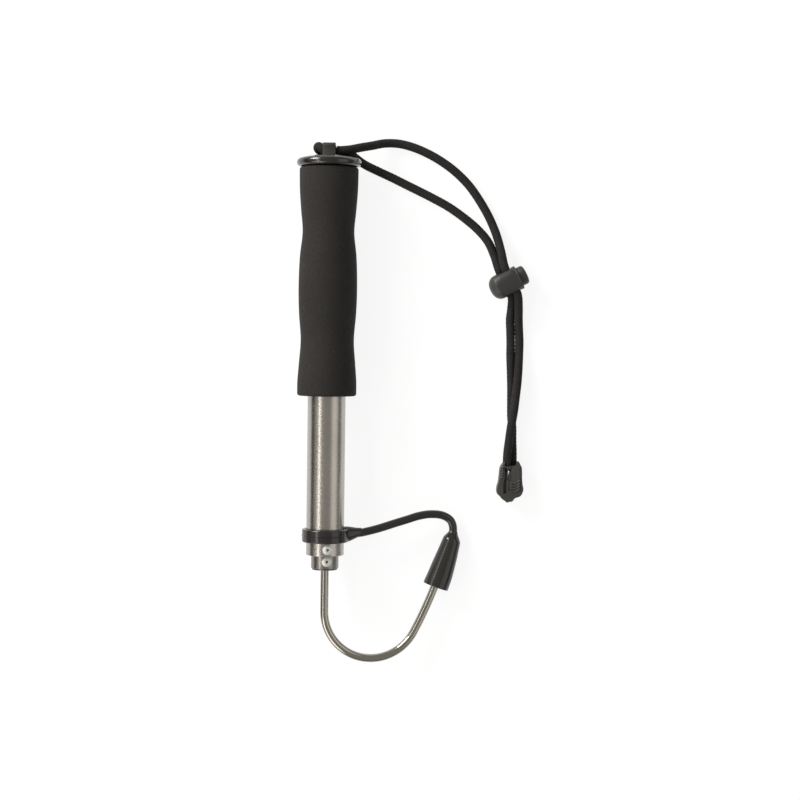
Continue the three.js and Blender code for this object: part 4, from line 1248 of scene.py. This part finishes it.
class GAFF_OT_guard(BuildOperator):
    """Builds the point guard: its ring, its strap and its sleeve"""

    bl_idname = "gaff.guard"
    bl_label = "Point guard"

    def build(self):
        self.ring()
        self.sleeve()
        self.strap()

    def ring(self):
        """A ring with the boss that the strap leaves from, in one skin, and a moulding seam."""
        inner = TUBE_RADIUS + RING_ROOM
        low, high = RING_Y - RING_HEIGHT / 2, RING_Y + RING_HEIGHT / 2
        corners = [(inner, low), (RING_RADIUS, low), (RING_RADIUS, high), (inner, high)]
        shape = turned(eased(corners, 0.8, 6, ends=True), 128)
        ring = mesh_object("guard_collar", *shape, "rubber", place=HOOK)
        start, end, heading = boss_line()
        reach = (end - start).length + 2.5
        base, tip = RING_HEIGHT / 2 + 0.8, ROD_RADIUS + 0.05
        shares = [i / 20 for i in range(21)]
        profile = [(base + (tip - base) * smooth_step(s), reach * s) for s in shares]
        turn = Matrix.Rotation(math.atan2(heading.y, heading.x) - math.pi / 2, 4, "Z")
        place = HOOK @ Matrix.Translation((start.x * MM, (start.y + 0.45) * MM, 0)) @ turn
        cut(ring, turned([(0, 0), *profile, (0, reach)], 64), place, "UNION")
        clear = [(0, low - 3), (inner, low - 3), (inner, high + 3), (0, high + 3)]
        cut(ring, turned(clear, 128), HOOK)
        self.melted(ring, 0.26, 5)
        crest, foot = RING_RADIUS + SEAM_RISE, RING_RADIUS - 0.3
        seam = [(foot, RING_Y - SEAM_HALF), (crest, RING_Y), (foot, RING_Y + SEAM_HALF)]
        line = mesh_object("guard_collar_seam", *turned(seam, 128), "rubber", place=HOOK, angle=80)
        piece(ring, "guard_collar", "rubber", "guard_ring")
        piece(line, "guard_collar", "rubber")

    def melted(self, obj, voxel, rounds):
        """One skin over joined shapes, with its inner corners softened as in a moulding."""
        change = obj.modifiers.new("Remesh", "REMESH")
        change.mode = "VOXEL"
        change.voxel_size = voxel * MM
        change.use_smooth_shade = True
        soft = obj.modifiers.new("Smooth", "SMOOTH")
        soft.factor = 0.5
        soft.iterations = rounds
        baked(obj)
        finish_mesh(obj, 60.0)

    def sleeve(self):
        """A cone over the point, open at its mouth, that narrows into the strap."""
        mouth = guard_frame()[2]
        bore = ROD_RADIUS + ROD_ROOM
        body = GUARD_LENGTH - GUARD_LIP
        profile = [(0, GUARD_DEPTH), (bore, GUARD_DEPTH), (bore, 0.9)]
        corners = [(bore, 0.9), (bore + 0.5, 0), (GUARD_MOUTH, 0), (GUARD_MOUTH, GUARD_LIP)]
        profile += eased(corners, 0.45, 5)[1:]
        for i in range(1, 13):
            share = i / 12
            radius = GUARD_MOUTH + (GUARD_SHOULDER - GUARD_MOUTH) * share
            profile.append((radius, GUARD_LIP + body * share))
        slope = (GUARD_SHOULDER - GUARD_MOUTH) / body * GUARD_NECK
        for i in range(1, 17):
            share = i / 16
            lead = slope * share * (1 - share) ** 2
            radius = GUARD_SHOULDER + (ROD_RADIUS - GUARD_SHOULDER) * smooth_step(share) + lead
            profile.append((radius, GUARD_LENGTH + GUARD_NECK * share))
        profile += [(0, GUARD_LENGTH + GUARD_NECK)]
        turn = Matrix.Rotation(-GUARD_LEAN, 4, "Z")
        place = HOOK @ Matrix.Translation((mouth.x * MM, mouth.y * MM, 0)) @ turn
        points, faces = turned(profile, 96)
        points = [self.swollen(p, bore + 0.6) for p in points]
        sleeve = mesh_object("guard_sleeve_shell", points, faces, "rubber", place=place)
        piece(sleeve, "point_guard", "rubber", "guard_sleeve")

    def swollen(self, point, inside):
        """Moves the sleeve's outside a little to its outer side, and widens it there."""
        x, y, z = point
        reach = math.hypot(x, z)
        if reach < inside and y < GUARD_LENGTH:
            return point
        along, shift, wide = GUARD_SWELL
        grow = np.interp(y, along, wide) * x / max(reach, 0.001)
        return x + np.interp(y, along, shift) + grow, y, z

    def strap(self):
        """A round strap in two halves, split at its highest point."""
        _, end, heading = boss_line()
        first = end + heading * 0.05
        _, lean, mouth = guard_frame()
        last = mouth + lean * (GUARD_LENGTH + GUARD_NECK + 0.05)
        spots = []
        for i, (along, up) in enumerate(STRAP_SHARES):
            share = i / (len(STRAP_SHARES) - 1)
            level = first.y + (last.y - first.y) * share
            spots.append((first.x + along * (last.x - first.x), level + up * STRAP_RISE))
        spots[:2] = [tuple(first), (first.x + ROD_RADIUS, first.y + 0.3), (first.x + 9.5, first.y + 1.9)]
        inside = last - lean * 1.5 - Vector((lean.y, -lean.x)) * 0.66
        spots[-3:] = [(last.x - 3.05, last.y + 6.67), (last.x - 1.5, last.y + 3.5), tuple(inside)]
        line = flat_route(spots, 14)
        top = max(range(len(line)), key=lambda i: line[i][1])
        start, peak, stop = (in_hook_plane(spot) for spot in (first, line[top], last))
        for name, half, bodies, ends in (
            ("guard_strap_near", line[: top + 1], ("guard_collar", "inner_section"), (start, peak)),
            ("guard_strap_far", line[top:], ("inner_section", "point_guard"), (peak, stop)),
        ):
            shape = swept_flat(half, [ROD_RADIUS] * len(half))
            strap = mesh_object(name, *shape, "rubber", place=HOOK)
            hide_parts("guard_strap")
            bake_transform(strap)


class GAFF_OT_lock(BuildOperator):
    """Builds the cord lock: its barrel, its button and its spring"""

    bl_idname = "gaff.lock"
    bl_label = "Cord lock"

    def build(self):
        self.barrel()
        self.button()
        self.spring()

    def windowed(self, obj, low, high, bevel):
        """Cuts the window that the cord runs through, and rounds the edges."""
        cut(obj, block((20, high - low, LOCK_WINDOW[2]), (0, (low + high) / 2, 0)), LOCK)
        finish_mesh(obj, 32)
        bevelled(obj, bevel, 2, 40)

    def barrel(self):
        """A domed barrel with a plain rim and the bore that the button slides in."""
        radius, rim = LOCK_RADIUS, LOCK_LENGTH
        profile = []
        for i in range(29):
            a = math.pi / 2 * i / 28
            rise = (LOCK_DOME + 2) * (1 - math.cos(a) ** 0.976)
            profile.append(((radius + 0.1) * math.sin(a) ** 0.87, rise))
        corners = [
            profile[-1], (radius + 0.22, 8), (radius + 0.25, 10), (radius + 0.25, 12),
            (radius + 0.17, 15), (radius + 0.05, rim - 1.0), (radius + 0.18, rim - 0.8),
            (radius + 0.18, rim - 0.15), (radius - 0.1, rim), (LOCK_BORE, rim),
            (LOCK_BORE, 4.3), (LOCK_BORE - 1.4, 2.9), (3.2, 2.9), (3.2, 1.4), (0, 1.4),
        ]
        profile += eased(corners, 0.3, 4)[1:]
        points, faces = turned(profile, 96)
        points = [self.squarer(p) for p in points]
        barrel = mesh_object("lock_barrel_shell", points, faces, "plastic", place=LOCK)
        self.windowed(barrel, *LOCK_WINDOW[:2], 0.22)
        piece(barrel, "cord_lock", "lock_plastic", "lock_barrel")

    def squarer(self, point):
        """Squares the barrel's outside a little along its window."""
        x, y, z = point
        reach = math.hypot(x, z)
        if reach < LOCK_BORE + 0.4:
            return point
        share = min(1, max(0, (y - 3) / 4)) * min(1, max(0, (LOCK_LENGTH - 0.9 - y) / 2.5))
        power = 2 + 0.8 * share
        grow = (abs(x / reach) ** power + abs(z / reach) ** power) ** (-1 / power)
        return x * grow, y, z * grow

    def button(self):
        """The plunger with its button, its window a little longer than the barrel's."""
        radius = LOCK_BORE - 0.3
        inner = LOCK_WINDOW[0] - 1.3
        top = LOCK_LENGTH + BUTTON_SHOWING
        profile = [(0, inner), (radius - 1.3, inner), (radius, inner + 1.3)]
        for i in range(16):
            a = math.pi / 2 * i / 16
            profile.append((radius * math.cos(a) ** 0.5, top - 1.7 + 1.7 * math.sin(a)))
        profile.append((0, top))
        button = mesh_object("lock_button_stem", *turned(profile, 80), "plastic", place=LOCK)
        self.windowed(button, LOCK_WINDOW[0], LOCK_WINDOW[1] + BUTTON_TRAVEL + 0.45, 0.2)
        piece(button, "lock_button", "lock_plastic", "lock_plunger")

    def spring(self):
        """A wound spring that the button presses together."""
        low, high = 1.95, LOCK_WINDOW[0] - 1.85
        inputs = {
            "Turns": 2.5,
            "Radius": 2.5 * MM,
            "Height": (high - low) * MM,
            "Wire": sizes().spring_wire,
            "Material": MATERIALS["rivet"],
        }
        spring = node_object("lock_coil", coil_tree(), inputs, [(0, 0, 0)])
        turn = Matrix.Rotation(-math.pi / 2, 4, "X")
        spring.data.transform(LOCK @ Matrix.Translation((0, low * MM, 0)) @ turn)
        finish_mesh(spring, 40)
        piece(spring, "cord_lock", "spring_steel", "lock_spring")
        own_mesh(spring)


class GAFF_OT_clip(BuildOperator):
    bl_idname = "gaff.clip"
    bl_label = "Cord end clip"

    def build(self):
        outline = self.side(CLIP_LEFT_SHARES, -1) + self.side(CLIP_RIGHT_SHARES, 1)[::-1]
        middle = CLIP_THICKNESS / 2
        clip = [
            self.half("cord_clip_back", outline, CLIP_BACK, middle - CLIP_PARTING),
            self.half("cord_clip_front", outline, middle + CLIP_PARTING, CLIP_FRONT),
        ]
        size = sizes()
        curved = [(0.4 + 5.2 * s, 12.1 + 2.4 * s - 3.7 * s * s) for s in (i / 12 for i in range(13))]
        ribs = [
            self.rib_row("clip_ribs", curved, size.rib_count, RIB_PITCH),
            self.rib_row("clip_knurl", CLIP_KNURL, size.knurl_count, KNURL_PITCH),
        ]

    def side(self, shares, sign):
        """One side of the clip's outline, from its cord end to its tip."""
        knots = [(sign * wide * CLIP_HALF_WIDTH, along * CLIP_LENGTH) for along, wide in shares]
        return flat_route(self.spots(knots), 5)

    def spots(self, places):
        """Places given in millimetres right of the clip's middle and below its cord end."""
        return [(CLIP_X + across, CLIP_TOP_Y - down) for across, down in places]

    def half(self, name, outline, low, high):
        """A half shell with a rounded rim, channels for the cord and the slit through it."""
        front = low > CLIP_THICKNESS / 4
        mesh = raw_mesh(name, *extruded(outline, low, high))
        work = bmesh.new()
        work.from_mesh(mesh)
        bmesh.ops.recalc_face_normals(work, faces=work.faces)
        face_z = (high if front else low) * MM
        rim = [e for e in work.edges if all(abs(v.co.z - face_z) < 1e-7 for v in e.verts)]
        rounding = {"segments": 5, "profile": 0.5, "affect": "EDGES", "clamp_overlap": True}
        bmesh.ops.bevel(work, geom=rim, offset=CLIP_EDGE * MM, **rounding)
        work.to_mesh(mesh)
        work.free()
        shell = linked_object(f"{name}_shell", mesh)
        mesh.materials.append(MATERIALS["clip"])
        room = CORD_RADIUS + 0.3
        for x, z in CLIP_CHANNELS:
            place = Matrix.Translation((x * MM, CLIP_TOP_Y * MM, z * MM))
            cut(shell, turned([(0, -6), (room, -6), (room, 3), (0, 3)], 48), place)
        cut(shell, extruded(self.spots(CLIP_TEAR), -1, 12))
        if front:
            cut(shell, extruded(self.spots(CLIP_MOUTH), low - 1, high + 2))
            cut(shell, extruded(self.spots(CLIP_VALLEY), high - CLIP_VALLEY_DEPTH, high + 2))
            for line in CLIP_GROOVES:
                groove = flat_route(self.spots(line), 6)
                points, faces = swept_flat(groove, [GROOVE_RADIUS] * len(groove), 12)
                cut(shell, ([(x, y, z + high) for x, y, z in points], faces))
        finish_mesh(shell, 35)
        return piece(shell, "handle", "clip_plastic", name)

    def rib_row(self, name, places, number, pitch):
        """Ribs on the clip's front, each on the same line moved by a pitch."""
        line = [Vector((x, y, CLIP_FRONT)) * MM for x, y in self.spots(places)]
        inputs = {"Count": number, "Pitch": pitch, "Radius": sizes().rib_radius}
        inputs["Material"] = MATERIALS["clip"]
        return piece(node_object(name, rib_tree(), inputs, line), "handle", "clip_plastic")


class GAFF_OT_hidden(BuildOperator):
    """Gives the bush and the stop sleeve their nylon finish"""

    bl_idname = "gaff.hidden"
    bl_label = "Bush and stop sleeve"

    def build(self):
        for name in ("guide_bush", "stop_sleeve"):
            materials = frame["nodes"][name].data.materials
            materials.clear()
            materials.append(MATERIALS["nylon"])


STEPS = (
    GAFF_OT_stage,
    GAFF_OT_cords,
    GAFF_OT_cap,
    GAFF_OT_grip,
    GAFF_OT_tubes,
    GAFF_OT_rivets,
    GAFF_OT_hook,
    GAFF_OT_guard,
    GAFF_OT_lock,
    GAFF_OT_clip,
    GAFF_OT_hidden,
)


class GAFF_PT_sidebar(bpy.types.Panel):
    """Lists the gaff's sizes, colours and steps"""

    bl_idname = "GAFF_PT_sidebar"
    bl_label = "Gaff"
    bl_space_type = "VIEW_3D"
    bl_region_type = "UI"
    bl_category = "Gaff"

    def draw(self, context):
        for group in (context.scene.gaff_sizes, context.scene.gaff_finishes):
            box = self.layout.box()
            for name in group.bl_rna.properties.keys():
                if name not in ("rna_type", "name"):
                    box.prop(group, name)
        for step in STEPS:
            self.layout.operator(step.bl_idname)


CLASSES = (GaffFinishes, GaffSizes, *STEPS, GAFF_PT_sidebar)


def register():
    for cls in CLASSES:
        bpy.utils.register_class(cls)
    bpy.types.Scene.gaff_finishes = PointerProperty(type=GaffFinishes)
    bpy.types.Scene.gaff_sizes = PointerProperty(type=GaffSizes)


def unregister():
    del bpy.types.Scene.gaff_sizes
    del bpy.types.Scene.gaff_finishes
    for cls in reversed(CLASSES):
        bpy.utils.unregister_class(cls)


def main():
    register()
    make_materials()
    for step in STEPS:
        getattr(bpy.ops.gaff, step.bl_idname.split(".")[1])()


if __name__ == "__main__":
    main()
